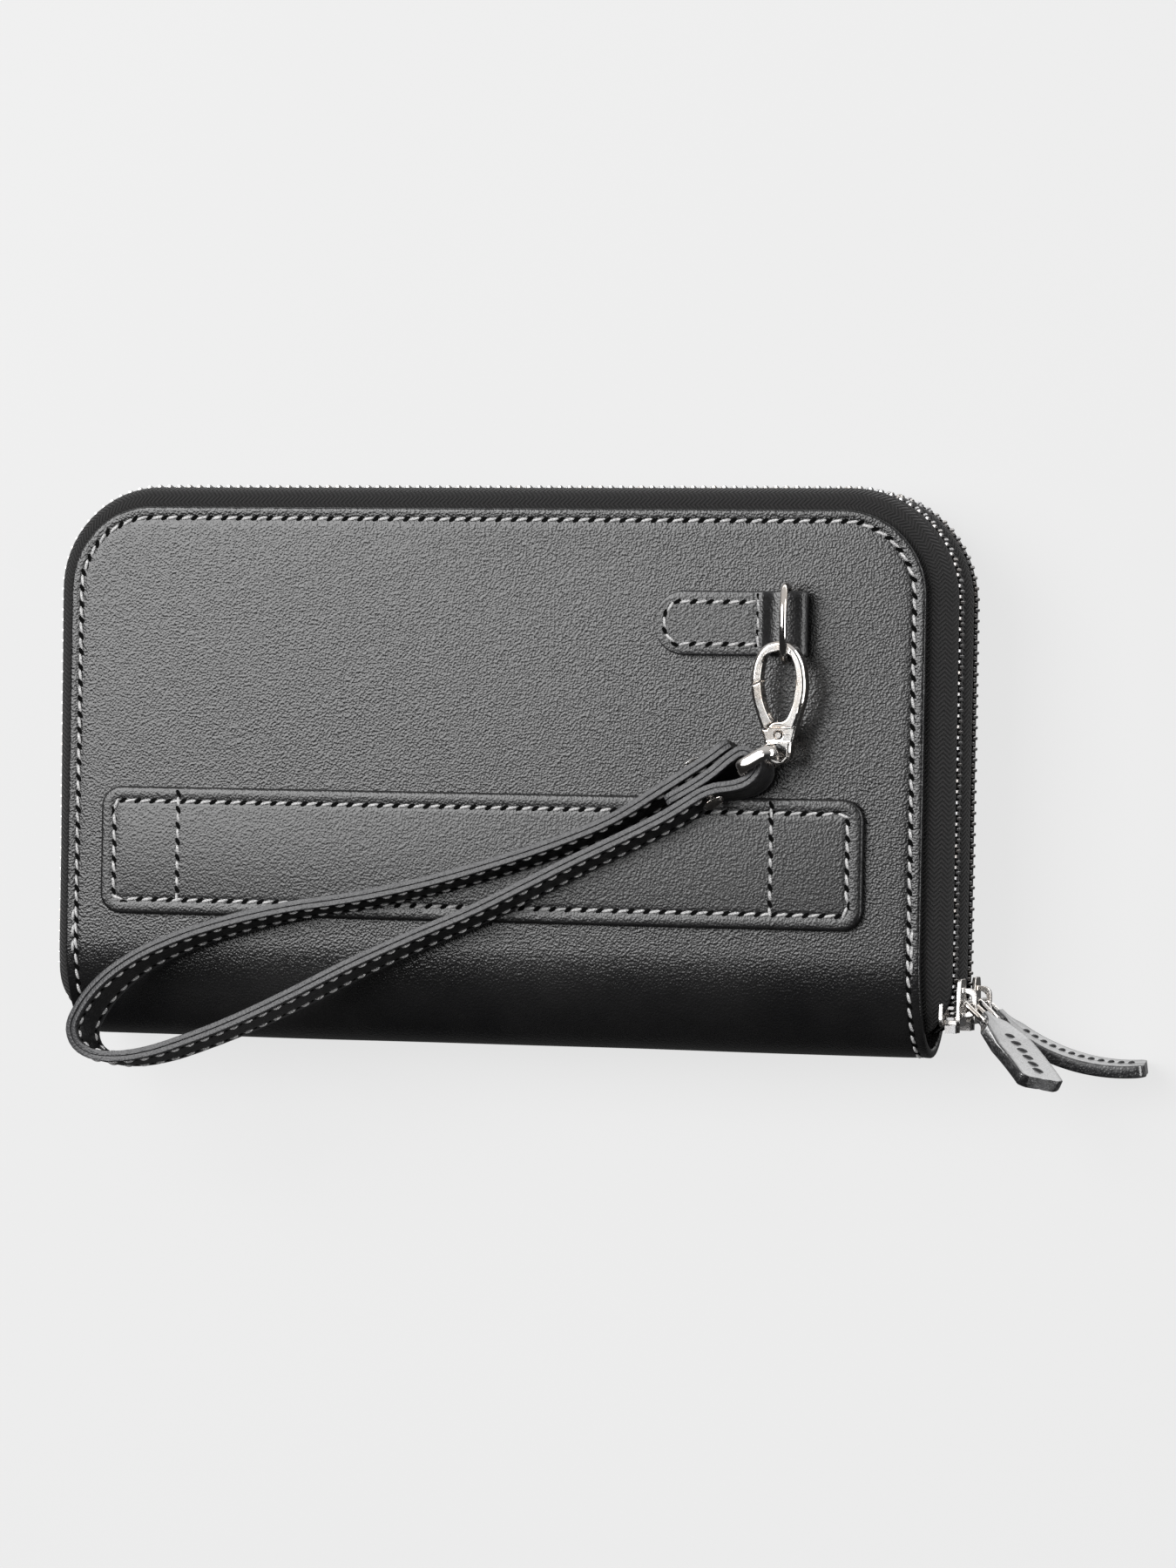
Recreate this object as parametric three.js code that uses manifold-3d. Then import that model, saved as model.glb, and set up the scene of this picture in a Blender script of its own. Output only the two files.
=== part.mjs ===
// A zip-around wristlet wallet with two compartments, lying on its front cover.
// Millimetres, +Z up. The origin is the centre of the front cover's resting face:
// +X runs along the wallet, +Y points away from the fold, +Z out of the back cover.
import * as THREE from "three";
import { mergeVertices } from "three/addons/utils/BufferGeometryUtils.js";
import Module from "manifold-3d";

const wasm = await Module();
wasm.setup();

// Driving dimensions
const LENGTH = 210;
const HEIGHT = 127;
const THICKNESS = 33;
const CORNER = 20;
const LEATHER = 2.2;
const FOLD_DEPTH = 24;
const HALF_X = LENGTH / 2;
const TOP_Y = HEIGHT / 2;
const FOLD_Y = -HEIGHT / 2;
const MID_Z = THICKNESS / 2;
const FOLD_START = FOLD_Y + FOLD_DEPTH;
const GAP = 0.3;

// Zips: two closed chains, each a row of teeth on either side of its centre line
const CHAIN_OFFSET = 8.2;
const TEETH_HALF = 2.55;
const TEETH_GAP = 0.6;
const TEETH_THICK = 2.5;
const TAPE = 0.5;
const TAPE_HEM = 8;
const TAPE_END = -47.5;
const TEETH_END = -55;
const RIGHT_BULGE = 6.2;
const LEFT_BULGE = 3.2;
const TOP_BULGE = 5;
const TURN_BULGE = 4.6;
const SIDE_BULGE = 3.8;
const SLIDER_Y = -50;
const SLIDER_LENGTH = 11;

// Back cover's fittings
const HAND_STRAP = { x0: -95.5, x1: 91.5, y0: -34, y1: -3.5, corner: 5 };
const HAND_STRAP_TOP = THICKNESS + GAP + 2.05;
const TAB = { x0: 41, y0: 29.4, y1: 44.4, ply: 1.3, loopX: 73, loopZ: 36.1 };
const D_RING = { wire: 0.9, y: 36.8, half: 8.7, rise: 12, lean: 9 };

// Snap hook: a flat casting that lies over the back cover, its nose a little higher than its eye
const HOOK = { x: 72.8, z: 40, thick: 4.6, eyeY: 7.2, eyeR: 2.1, pinY: 11.2, tilt: 4 };

// Wrist strap: two plies standing on edge, leaning as they rise
const STRAP_BASE = HAND_STRAP_TOP + GAP;
const STRAP_RISE = 9.5;
const STRAP_PLY = 1.1;

const rad = THREE.MathUtils.degToRad;
const lerp = THREE.MathUtils.lerp;
const v2 = (x, y) => new THREE.Vector2(x, y);
const v3 = (x, y, z) => new THREE.Vector3(x, y, z);

const MATERIALS = {
  leather: { color: 0x1b1b1c, roughness: 0.45 },
  lining: { color: 0x2b2a29, roughness: 0.8 },
  tape: { color: 0x141414, roughness: 0.95 },
  metal: { color: 0xd8d6d0, roughness: 0.18, metalness: 1 },
  teeth: { color: 0xb9b7b2, roughness: 0.3, metalness: 1 },
};

const wallet = new THREE.Group();

function add(name, geometry, material) {
  const mesh = new THREE.Mesh(geometry, new THREE.MeshStandardMaterial(MATERIALS[material]));
  mesh.name = name;
  wallet.add(mesh);
}

// Solids

function solidOf(geometry) {
  const bare = geometry.index ? geometry.toNonIndexed() : geometry.clone();
  bare.deleteAttribute("normal");
  bare.deleteAttribute("uv");
  const merged = mergeVertices(bare, 1e-3);
  const triVerts = new Uint32Array(merged.index.array);
  const vertProperties = merged.attributes.position.array;
  const made = new wasm.Manifold(new wasm.Mesh({ numProp: 3, vertProperties, triVerts }));
  if (made.volume() > 0) return made;
  triVerts.reverse();
  return new wasm.Manifold(new wasm.Mesh({ numProp: 3, vertProperties, triVerts }));
}

function geometryOf(solid) {
  const mesh = solid.getMesh();
  const geometry = new THREE.BufferGeometry();
  geometry.setAttribute("position", new THREE.BufferAttribute(mesh.vertProperties, 3));
  geometry.setIndex(new THREE.BufferAttribute(mesh.triVerts, 1));
  return geometry;
}

const cut = (body, ...tools) =>
  geometryOf(tools.reduce((made, tool) => made.subtract(solidOf(tool)), solidOf(body)));
const join = (first, ...rest) =>
  geometryOf(rest.reduce((made, next) => made.add(solidOf(next)), solidOf(first)));
const common = (first, second) => geometryOf(solidOf(first).intersect(solidOf(second)));

// A closed solid through rings of points; `closed` joins the last ring to the first.
function loft(rings, closed = false) {
  const count = rings[0].length;
  const index = [];
  const last = closed ? rings.length : rings.length - 1;
  for (let i = 0; i < last; i++) {
    const a = i * count;
    const b = ((i + 1) % rings.length) * count;
    for (let j = 0; j < count; j++) {
      const k = (j + 1) % count;
      index.push(a + j, a + k, b + j, b + j, a + k, b + k);
    }
  }
  if (!closed) {
    const end = (rings.length - 1) * count;
    for (const [p, q, r] of endFaces(rings[0])) index.push(p, r, q, end + p, end + q, end + r);
  }
  const geometry = new THREE.BufferGeometry().setFromPoints(rings.flat());
  geometry.setIndex(index);
  return geometryOf(solidOf(geometry));
}

// Triangles that fill a flat ring of points, each turning the same way as the ring.
function endFaces(ring) {
  const centre = ring.reduce((sum, p) => sum.add(p), v3(0, 0, 0)).divideScalar(ring.length);
  const arms = ring.map((p) => p.clone().sub(centre));
  const normal = v3(0, 0, 0);
  arms.forEach((arm, i) => normal.add(arm.clone().cross(arms[(i + 1) % arms.length])));
  const across = arms[0].clone().normalize();
  const up = normal.normalize().cross(across);
  const flat = arms.map((arm) => v2(arm.dot(across), arm.dot(up)));
  return THREE.ShapeUtils.triangulateShape(flat, []).map(([p, q, r]) =>
    THREE.ShapeUtils.area([flat[p], flat[q], flat[r]]) > 0 ? [p, q, r] : [p, r, q],
  );
}

// Extrusions along the three axes. Outlines are (x, y), (y, z) and (x, z).
function extrudeZ(shape, z0, z1, bevel = 0, curveSegments = 5) {
  const settings = {
    depth: z1 - z0 - 2 * bevel,
    curveSegments,
    bevelEnabled: bevel > 0,
    bevelThickness: bevel,
    bevelSize: bevel,
    bevelOffset: -bevel,
    bevelSegments: 1,
  };
  return new THREE.ExtrudeGeometry(shape, settings).translate(0, 0, z0 + bevel);
}

function extrudeX(shape, x0, x1) {
  const turned = new THREE.Matrix4().makeBasis(v3(0, 1, 0), v3(0, 0, 1), v3(1, 0, 0));
  return extrudeZ(shape, 0, x1 - x0, 0, 8).applyMatrix4(turned).translate(x0, 0, 0);
}

function extrudeY(shape, y0, y1) {
  return extrudeZ(shape, 0, y1 - y0, 0, 8).rotateX(Math.PI / 2).translate(0, y1, 0);
}

function box(x0, x1, y0, y1, z0, z1) {
  const made = new THREE.BoxGeometry(x1 - x0, y1 - y0, z1 - z0);
  return made.translate((x0 + x1) / 2, (y0 + y1) / 2, (z0 + z1) / 2);
}

function roundedRect(x0, x1, y0, y1, corner) {
  const shape = new THREE.Shape();
  shape.moveTo(x0 + corner, y0);
  shape.absarc(x1 - corner, y0 + corner, corner, -Math.PI / 2, 0);
  shape.absarc(x1 - corner, y1 - corner, corner, 0, Math.PI / 2);
  shape.absarc(x0 + corner, y1 - corner, corner, Math.PI / 2, Math.PI);
  shape.absarc(x0 + corner, y0 + corner, corner, Math.PI, 1.5 * Math.PI);
  return shape;
}

const mirrorZ = (geometry) =>
  geometryOf(solidOf(geometry.clone().translate(0, 0, -MID_Z)).mirror([0, 0, 1])).translate(0, 0, MID_Z);

// A round wire bent along a closed line that lies in one plane.
function wireLoop(line, across, radius) {
  const rings = line.map((p, i) => {
    const before = line[(i + line.length - 1) % line.length];
    const after = line[(i + 1) % line.length];
    const along = after.clone().sub(before).normalize();
    const out = along.clone().cross(across).normalize();
    return Array.from({ length: 8 }, (unused, j) => {
      const angle = (j * Math.PI) / 4;
      const offset = out.clone().multiplyScalar(radius * Math.cos(angle));
      return p.clone().add(offset).addScaledVector(across, radius * Math.sin(angle));
    });
  });
  return loft(rings, true);
}

// The points of a closed outline, each only once.
function loopPoints(outline, divisions) {
  const points = outline.getPoints(divisions);
  const close = (p, q) => p.distanceTo(q) < 0.05;
  const open = points.filter((p, i) => i === 0 || !close(p, points[i - 1]));
  return close(open[0], open[open.length - 1]) ? open.slice(0, -1) : open;
}

// Covers and linings

// The wallet's plan, square at the fold and rounded at the two top corners.
function panelPlan(inset, bottom) {
  const shape = new THREE.Shape();
  const corner = CORNER - inset;
  shape.moveTo(-HALF_X + inset, bottom);
  shape.lineTo(HALF_X - inset, bottom);
  shape.absarc(HALF_X - CORNER, TOP_Y - CORNER, corner, 0, Math.PI / 2);
  shape.absarc(-HALF_X + CORNER, TOP_Y - CORNER, corner, Math.PI / 2, Math.PI);
  return shape;
}

// Half of the folded cover: flat, then a quarter ellipse down to the fold line.
function coverBack() {
  const inner = Math.PI + Math.asin((GAP / 2) / (MID_Z - LEATHER));
  const outer = Math.PI - Math.asin((GAP / 2) / MID_Z);
  const section = new THREE.Shape();
  section.moveTo(TOP_Y + 1, THICKNESS);
  section.lineTo(FOLD_START, THICKNESS);
  section.absellipse(FOLD_START, MID_Z, FOLD_DEPTH, MID_Z, Math.PI / 2, outer, false);
  section.absellipse(
    FOLD_START,
    MID_Z,
    FOLD_DEPTH - LEATHER,
    MID_Z - LEATHER,
    2 * Math.PI - inner,
    Math.PI / 2,
    true,
  );
  section.lineTo(TOP_Y + 1, THICKNESS - LEATHER);
  const sheet = extrudeX(section, -HALF_X - 1, HALF_X + 1);
  return common(sheet, extrudeZ(panelPlan(0, FOLD_Y - 1), -1, THICKNESS + 1, 0, 8));
}

const LINING = 0.8;
const liningBack = () => {
  const top = THICKNESS - LEATHER - 1;
  return extrudeZ(panelPlan(3.5, FOLD_START + 1.5), top - LINING, top);
};

add("cover_back", coverBack(), "leather");
add("cover_front", mirrorZ(coverBack()), "leather");
add("lining_back", liningBack(), "lining");
add("lining_front", mirrorZ(liningBack()), "lining");

// Divider and pockets

const DIVIDER = 1.2;
add("divider_panel", extrudeZ(panelPlan(5, FOLD_Y + 5.5), MID_Z - DIVIDER / 2, MID_Z + DIVIDER / 2), "lining");

// Card pockets in two columns of three, each tier lower and further forward than the last.
const POCKET = { leather: 0.8, pitch: 1.1, step: 14, top: 38, bottom: -50, first: 1.7 };
for (const [side, x0] of [["left", -88], ["right", 4]]) {
  for (let tier = 0; tier < 3; tier++) {
    const z0 = MID_Z + POCKET.first + tier * POCKET.pitch;
    const outline = roundedRect(x0, x0 + 84, POCKET.bottom, POCKET.top - tier * POCKET.step, 2);
    add(`card_pocket_${side}_${tier + 1}`, extrudeZ(outline, z0, z0 + POCKET.leather), "lining");
  }
}
const coinPocketTop = MID_Z - 1.7;
add("coin_pocket", extrudeZ(roundedRect(-88, 88, -48, 30, 4), coinPocketTop - 0.8, coinPocketTop), "lining");
const billPocket = LEATHER + 1 + LINING + GAP;
add("bill_pocket", extrudeZ(roundedRect(-90, 90, -36, 44, 4), billPocket, billPocket + 0.8), "lining");

// Zips

// Height of the cover's inner face above the middle plane, at a distance y along the wallet.
function innerHeight(y) {
  const down = Math.min(0, y - FOLD_START) / (FOLD_DEPTH - LEATHER);
  return (MID_Z - LEATHER) * Math.sqrt(1 - down * down);
}

// Places along the rim, from the lower right corner round the top to the lower left one.
function rimStations(endY) {
  const straight = [endY, -44, -40, -25, 10, TOP_Y - CORNER];
  const stations = straight.map((y) => ({ at: v2(HALF_X, y), out: v2(1, 0), bulge: RIGHT_BULGE }));
  const arc = (side, from, bulge) => {
    for (let i = 1; i <= 8; i++) {
      const angle = rad(from + (i * 90) / 8);
      const out = v2(Math.cos(angle), Math.sin(angle));
      const at = v2(side * (HALF_X - CORNER), TOP_Y - CORNER).addScaledVector(out, CORNER);
      stations.push({ at, out, bulge: bulge(i / 8) });
    }
  };
  arc(1, 0, (t) => lerp(RIGHT_BULGE, TOP_BULGE, t));
  stations.push({ at: v2(0, TOP_Y), out: v2(0, 1), bulge: lerp(TOP_BULGE, TURN_BULGE, 0.5) });
  stations.push({ at: v2(-HALF_X + CORNER, TOP_Y), out: v2(0, 1), bulge: TURN_BULGE });
  arc(-1, 90, (t) => lerp(TURN_BULGE, SIDE_BULGE, t));
  for (const y of straight.slice(0, -1).reverse()) {
    const bulge = y > 0 ? lerp(LEFT_BULGE, SIDE_BULGE, 0.3) : LEFT_BULGE;
    stations.push({ at: v2(-HALF_X, y), out: v2(-1, 0), bulge });
  }
  return stations;
}

// Sweeps an outline of (distance out from the rim, height above the middle plane).
function sweepRim(endY, outlineAt) {
  const rings = rimStations(endY).map((station) =>
    outlineAt(station).map(([s, h]) => {
      const p = station.at.clone().addScaledVector(station.out, s);
      return v3(p.x, p.y, MID_Z + h);
    }),
  );
  return loft(rings);
}

// A strip of even thickness along an open line of (s, h) points.
function ribbon(line, thick) {
  const sides = line.map(([s, h], i) => {
    const [s0, h0] = line[Math.max(0, i - 1)];
    const [s1, h1] = line[Math.min(line.length - 1, i + 1)];
    const normal = v2(h0 - h1, s1 - s0).normalize().multiplyScalar(thick / 2);
    return [[s + normal.x, h + normal.y], [s - normal.x, h - normal.y]];
  });
  return [...sides.map((pair) => pair[0]), ...sides.map((pair) => pair[1]).reverse()];
}

// Tape from its sewn hem, out over the rim and round to the teeth.
function tape(hemAt, teethEdge) {
  return sweepRim(TAPE_END, ({ at, bulge }) => {
    const hem = hemAt(at.y);
    const h = (t) => lerp(hem, teethEdge, t);
    const line = [
      [-TAPE_HEM, hem],
      [0, hem],
      [0.6 * bulge, h(0.14)],
      [0.88 * bulge, h(0.42)],
      [bulge, h(0.75)],
      [bulge, teethEdge],
    ];
    return ribbon(line, TAPE);
  });
}

function teeth(h0, h1) {
  return sweepRim(TEETH_END, ({ bulge }) => {
    const s0 = bulge - TEETH_THICK / 2;
    const s1 = bulge + TEETH_THICK / 2;
    return [[s0, h0], [s1, h0], [s1, h1], [s0, h1]];
  });
}

const STOP_LENGTH = 1.8;
function stop(side, h0, h1) {
  const x = side * HALF_X + side * (side > 0 ? RIGHT_BULGE : LEFT_BULGE);
  const y1 = TEETH_END - GAP;
  const half = TEETH_THICK / 2;
  return box(x - half, x + half, y1 - STOP_LENGTH, y1, MID_Z + h0, MID_Z + h1);
}

const outerTape = tape((y) => innerHeight(y) - 0.5, CHAIN_OFFSET + TEETH_HALF + GAP);
const innerTape = tape(() => 1.15, CHAIN_OFFSET - TEETH_HALF - GAP);
const outerRow = [CHAIN_OFFSET + TEETH_GAP, CHAIN_OFFSET + TEETH_HALF];
const innerRow = [CHAIN_OFFSET - TEETH_HALF, CHAIN_OFFSET - TEETH_GAP];
const flip = ([h0, h1]) => [-h1, -h0];

add("tape_back", outerTape, "tape");
add("tape_divider_upper", innerTape, "tape");
add("tape_divider_lower", mirrorZ(innerTape), "tape");
add("tape_front", mirrorZ(outerTape), "tape");
const rows = {
  back: outerRow,
  divider_upper: innerRow,
  divider_lower: flip(innerRow),
  front: flip(outerRow),
};
for (const [name, row] of Object.entries(rows)) {
  add(`teeth_${name}`, teeth(...row), "teeth");
  add(`stop_right_${name}`, stop(1, ...row), "metal");
  add(`stop_left_${name}`, stop(-1, ...row), "metal");
}

// Sliders, made round the chain's centre line with the nose towards the fold

const WING = 0.9;
const WING_CLEAR = 1.6;
const TUNNEL_X = WING_CLEAR + WING + 1.2;

function sliderWing(x0) {
  const half = SLIDER_LENGTH / 2;
  const outline = new THREE.Shape();
  outline.moveTo(-half, -2.6);
  outline.quadraticCurveTo(-half, -3.8, -half + 1.6, -3.8);
  outline.lineTo(1, -3.5);
  outline.quadraticCurveTo(half, -3.2, half, -2);
  outline.lineTo(half, 2);
  outline.quadraticCurveTo(half, 3.2, 1, 3.5);
  outline.lineTo(-half + 1.6, 3.8);
  outline.quadraticCurveTo(-half, 3.8, -half, 2.6);
  return extrudeX(outline, x0, x0 + WING);
}

function sliderBody() {
  const post = box(-WING_CLEAR - 0.1, WING_CLEAR + 0.1, -5.2, -3.4, -0.3, 0.3);
  const arch = new THREE.Shape();
  const foot = WING_CLEAR + WING - 0.2;
  arch.moveTo(foot, -3.4);
  arch.lineTo(foot + 1.6, -3.4);
  arch.quadraticCurveTo(foot + 3.4, -3.2, foot + 3.4, -1.2);
  arch.lineTo(foot + 3.4, 1.2);
  arch.quadraticCurveTo(foot + 3.4, 3.2, foot + 1.6, 3.4);
  arch.lineTo(foot, 3.4);
  arch.lineTo(foot, 2.4);
  arch.quadraticCurveTo(foot + 2.5, 2.4, foot + 2.5, 0);
  arch.quadraticCurveTo(foot + 2.5, -2.4, foot, -2.4);
  return join(sliderWing(WING_CLEAR), sliderWing(-WING_CLEAR - WING), post, extrudeZ(arch, -0.8, 0.8));
}

// The leather pull is a curved strip that starts as a loop on its ring.
// `way` is its direction in plan, `roll` how far its face is turned up, `droop` its fall.
const PULL_WIDTH = 11.5;
const PULL_THICK = 3;
const RING_REACH = 6;
const RING_HALF = 4.1;
const RING_CORNER = 1.5;
const RING_WIRE = 0.65;
const PULL_START = 4.4;
const LOOP_WIDTH = 4.8;

function pullStrip({ way, bend, roll, droop, length }) {
  const rings = [];
  const steps = 12;
  const place = v3(Math.cos(rad(way)), Math.sin(rad(way)), 0).multiplyScalar(PULL_START);
  const step = length / steps;
  for (let i = 0; i <= steps; i++) {
    const t = i / steps;
    const angle = rad(way + bend * t);
    const along = v3(Math.cos(angle), Math.sin(angle), -droop * t).normalize();
    const flat = v3(0, 0, 1).cross(along).normalize();
    const turn = rad(90 - (90 - roll) * Math.min(1, 2.5 * t));
    const width = flat.clone().multiplyScalar(-Math.cos(turn)).addScaledVector(
      along.clone().cross(flat),
      Math.sin(turn),
    );
    const face = along.clone().cross(width).normalize();
    const full = i < 2 ? LOOP_WIDTH + 0.4 * i : PULL_WIDTH;
    const half = (i === steps ? 0.72 * full : full) / 2;
    const corner = (w, f) =>
      place
        .clone()
        .addScaledVector(width, w * half)
        .addScaledVector(face, (f * PULL_THICK) / 2);
    rings.push([corner(-1, -1), corner(1, -1), corner(1, 1), corner(-1, 1)]);
    place.addScaledVector(along, step);
  }
  return loft(rings);
}

function pullLeather(settings) {
  const hole = new THREE.CylinderGeometry(1, 1, 12, 12).rotateX(Math.PI / 2);
  const way = rad(settings.way);
  hole.translate(RING_REACH * Math.cos(way), RING_REACH * Math.sin(way), 0);
  return cut(pullStrip(settings), hole);
}

// A rounded rectangle of wire, from the slider's tunnel to the leather's loop.
function pullRing({ way }) {
  const outline = roundedRect(0, RING_REACH, -RING_HALF, RING_HALF, RING_CORNER);
  const along = v3(Math.cos(rad(way)), Math.sin(rad(way)), 0);
  const line = loopPoints(outline, 3).map((p) => along.clone().multiplyScalar(p.x).setZ(p.y));
  return wireLoop(line, along.clone().cross(v3(0, 0, 1)), RING_WIRE);
}

const chainX = HALF_X + RIGHT_BULGE;
const pulls = {
  upper: { way: -41.5, bend: -2.5, roll: 67, droop: -0.95, length: 24.5 },
  lower: { way: -43, bend: 50, roll: 85, droop: 0.1, length: 38.5 },
};
for (const [name, settings] of Object.entries(pulls)) {
  const chainZ = MID_Z + (name === "upper" ? CHAIN_OFFSET : -CHAIN_OFFSET);
  const onTunnel = (geometry) => geometry.translate(chainX + TUNNEL_X, SLIDER_Y, chainZ);
  add(`slider_${name}`, sliderBody().translate(chainX, SLIDER_Y, chainZ), "metal");
  add(`pull_ring_${name}`, onTunnel(pullRing(settings)), "metal");
  add(`pull_leather_${name}`, onTunnel(pullLeather(settings)), "leather");
}

// Hand strap, sewn down at both ends across the back cover

const handStrapPlan = () =>
  roundedRect(HAND_STRAP.x0, HAND_STRAP.x1, HAND_STRAP.y0, HAND_STRAP.y1, HAND_STRAP.corner);
const strapLining = THICKNESS + GAP;
add("hand_strap_lining", extrudeZ(handStrapPlan(), strapLining, strapLining + 0.8), "leather");
add("hand_strap", extrudeZ(handStrapPlan(), HAND_STRAP_TOP - 1, HAND_STRAP_TOP), "leather");

// Tab for the D-ring: a strip folded into a loop, both ends sewn flat

function ringTab() {
  const low = THICKNESS + GAP;
  const top = low + 2 * TAB.ply;
  const rise = TAB.loopZ - low;
  const section = new THREE.Shape();
  section.moveTo(TAB.x0, low);
  section.lineTo(TAB.loopX, low);
  section.absellipse(TAB.loopX, TAB.loopZ, 4.9, rise, -Math.PI / 2, rad(144));
  section.quadraticCurveTo(TAB.loopX - 5.2, TAB.loopZ + 0.6, TAB.loopX - 6.8, top);
  section.lineTo(TAB.x0, top);
  const channel = new THREE.Path();
  channel.absellipse(TAB.loopX, TAB.loopZ, 3.4, rise - TAB.ply, 0, 2 * Math.PI);
  section.holes.push(channel);
  const end = 7;
  const plan = new THREE.Shape();
  plan.moveTo(TAB.loopX + 6, TAB.y1);
  plan.lineTo(TAB.x0 + end, TAB.y1);
  plan.absarc(TAB.x0 + end, TAB.y1 - end, end, Math.PI / 2, Math.PI);
  plan.absarc(TAB.x0 + end, TAB.y0 + end, end, Math.PI, 1.5 * Math.PI);
  plan.lineTo(TAB.loopX + 6, TAB.y0);
  return common(extrudeY(section, TAB.y0 - 1, TAB.y1 + 1), extrudeZ(plan, low - 1, low + 12));
}
add("d_ring_tab", ringTab(), "leather");

// D-ring: its straight bar lies in the tab's loop, its bow leans towards +X.
function dRing() {
  const outline = new THREE.Shape();
  const corner = 1.4;
  const side = 5.5;
  outline.moveTo(-D_RING.half + corner, 0);
  outline.absarc(D_RING.half - corner, corner, corner, -Math.PI / 2, 0);
  outline.absellipse(0, side, D_RING.half, D_RING.rise - side, 0, Math.PI);
  outline.absarc(-D_RING.half + corner, corner, corner, Math.PI, 1.5 * Math.PI);
  const lean = rad(D_RING.lean);
  const up = v3(Math.sin(lean), 0, Math.cos(lean));
  const foot = v3(TAB.loopX, D_RING.y, TAB.loopZ);
  const line = loopPoints(outline, 8).map((p) => v3(0, p.x, 0).addScaledVector(up, p.y).add(foot));
  return wireLoop(line, v3(Math.cos(lean), 0, -Math.sin(lean)), D_RING.wire);
}
add("d_ring", dRing(), "metal");

// Snap hook

// Half widths of the hook's outline and of its opening, from the top down.
const HOOK_OUTLINE = [
  [0, 33], [2.6, 32.3], [4.5, 30.6], [5.8, 28], [6.4, 25], [6.5, 22],
  [6.1, 19], [5.2, 16], [4.2, 13], [3.6, 10.8], [3.1, 8.8], [3, 7.2],
];
const HOOK_EYE_END = 3;
const HOOK_OPENING = [
  [0, 30.5], [2.6, 29.8], [3.6, 28], [4.1, 25.3], [4.2, 22.5],
  [3.8, 19.5], [3, 17], [2, 15], [1, 14.35], [0, 14.2],
];
const mirrorX = ([x, y]) => [-x, y];

function hookOutline() {
  const shape = new THREE.Shape();
  const points = HOOK_OUTLINE.map(([x, y]) => v2(x, y));
  shape.moveTo(0, 33);
  shape.splineThru(points.slice(1));
  shape.absarc(0, HOOK.eyeY, HOOK_EYE_END, 0, Math.PI, true);
  shape.splineThru(HOOK_OUTLINE.slice(0, -1).reverse().map(mirrorX).map(([x, y]) => v2(x, y)));
  return shape;
}

function hookOpening() {
  const path = new THREE.Shape();
  path.moveTo(0, 30.4);
  path.splineThru(HOOK_OPENING.slice(1).map(([x, y]) => v2(x, y)));
  path.splineThru(HOOK_OPENING.slice(0, -1).reverse().map(mirrorX).map(([x, y]) => v2(x, y)));
  return path;
}

// The gate's side of the hook: a wedge about the pin, up to the slanted lap at its tip.
function gateWedge(inner, lap, foot) {
  const wedge = new THREE.Shape();
  const pin = v2(0, HOOK.pinY);
  const at = (deg) => v2(inner * Math.cos(rad(deg)), inner * Math.sin(rad(deg))).add(pin);
  wedge.moveTo(at(94).x, at(94).y);
  wedge.lineTo(-1.2, lap + 1.2);
  wedge.lineTo(-8, lap - 2.1);
  wedge.lineTo(-8, foot);
  wedge.lineTo(at(158).x, foot);
  wedge.absarc(pin.x, pin.y, inner, rad(158), rad(94), true);
  return wedge;
}

const HOOK_Z0 = -HOOK.thick / 2;
const HOOK_Z1 = HOOK.thick / 2;
const disc = (x, y, r, z0, z1, sides = 20) =>
  new THREE.CylinderGeometry(r, r, z1 - z0, sides)
    .rotateX(Math.PI / 2)
    .translate(x, y, (z0 + z1) / 2);
const onHook = (geometry) =>
  geometry
    .translate(0, -HOOK.eyeY, 0)
    .rotateX(rad(HOOK.tilt))
    .translate(HOOK.x, HOOK.eyeY, HOOK.z);

function hookBody() {
  const blank = extrudeZ(hookOutline(), HOOK_Z0, HOOK_Z1, 0.6, 3);
  const slot = new THREE.Shape();
  slot.moveTo(0, HOOK.pinY - 2.6);
  slot.absarc(0, HOOK.pinY, 2.6, -Math.PI / 2, rad(60));
  slot.lineTo(0, HOOK.pinY + 4);
  slot.lineTo(-6, HOOK.pinY + 4);
  slot.lineTo(-6, HOOK.pinY - 2.6);
  return cut(
    blank,
    extrudeZ(hookOpening(), HOOK_Z0 - 1, HOOK_Z1 + 1, 0, 3),
    extrudeZ(gateWedge(3, 24, 12.3), HOOK_Z0 - 1, HOOK_Z1 + 1),
    extrudeZ(slot, -1.2, 1.2),
    disc(0, HOOK.eyeY, HOOK.eyeR, HOOK_Z0 - 1, HOOK_Z1 + 1),
    disc(0, HOOK.pinY, 1, HOOK_Z0 - 1, HOOK_Z1 + 1),
    box(-8, 8, HOOK.pinY - 1.6, HOOK.pinY + 1.8, HOOK_Z1 - 0.4, HOOK_Z1 + 1),
  );
}

function hookGate() {
  const blank = extrudeZ(hookOutline(), HOOK_Z0, HOOK_Z1, 0.6, 3);
  const bar = common(
    cut(blank, extrudeZ(hookOpening(), HOOK_Z0 - 1, HOOK_Z1 + 1, 0, 3)),
    extrudeZ(gateWedge(3.35, 23.65, 12.65), HOOK_Z0 - 1, HOOK_Z1 + 1),
  );
  const tongue = new THREE.Shape();
  tongue.moveTo(-1.2, HOOK.pinY + 1.6);
  tongue.lineTo(-2.2, HOOK.pinY + 5.2);
  tongue.lineTo(-4.2, HOOK.pinY + 4.2);
  tongue.lineTo(-2, HOOK.pinY);
  tongue.absarc(0, HOOK.pinY, 2, Math.PI, rad(60), false);
  return cut(
    join(bar, extrudeZ(tongue, -0.9, 0.4)),
    disc(0, HOOK.pinY, 1, HOOK_Z0 - 1, HOOK_Z1 + 1),
  );
}

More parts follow.
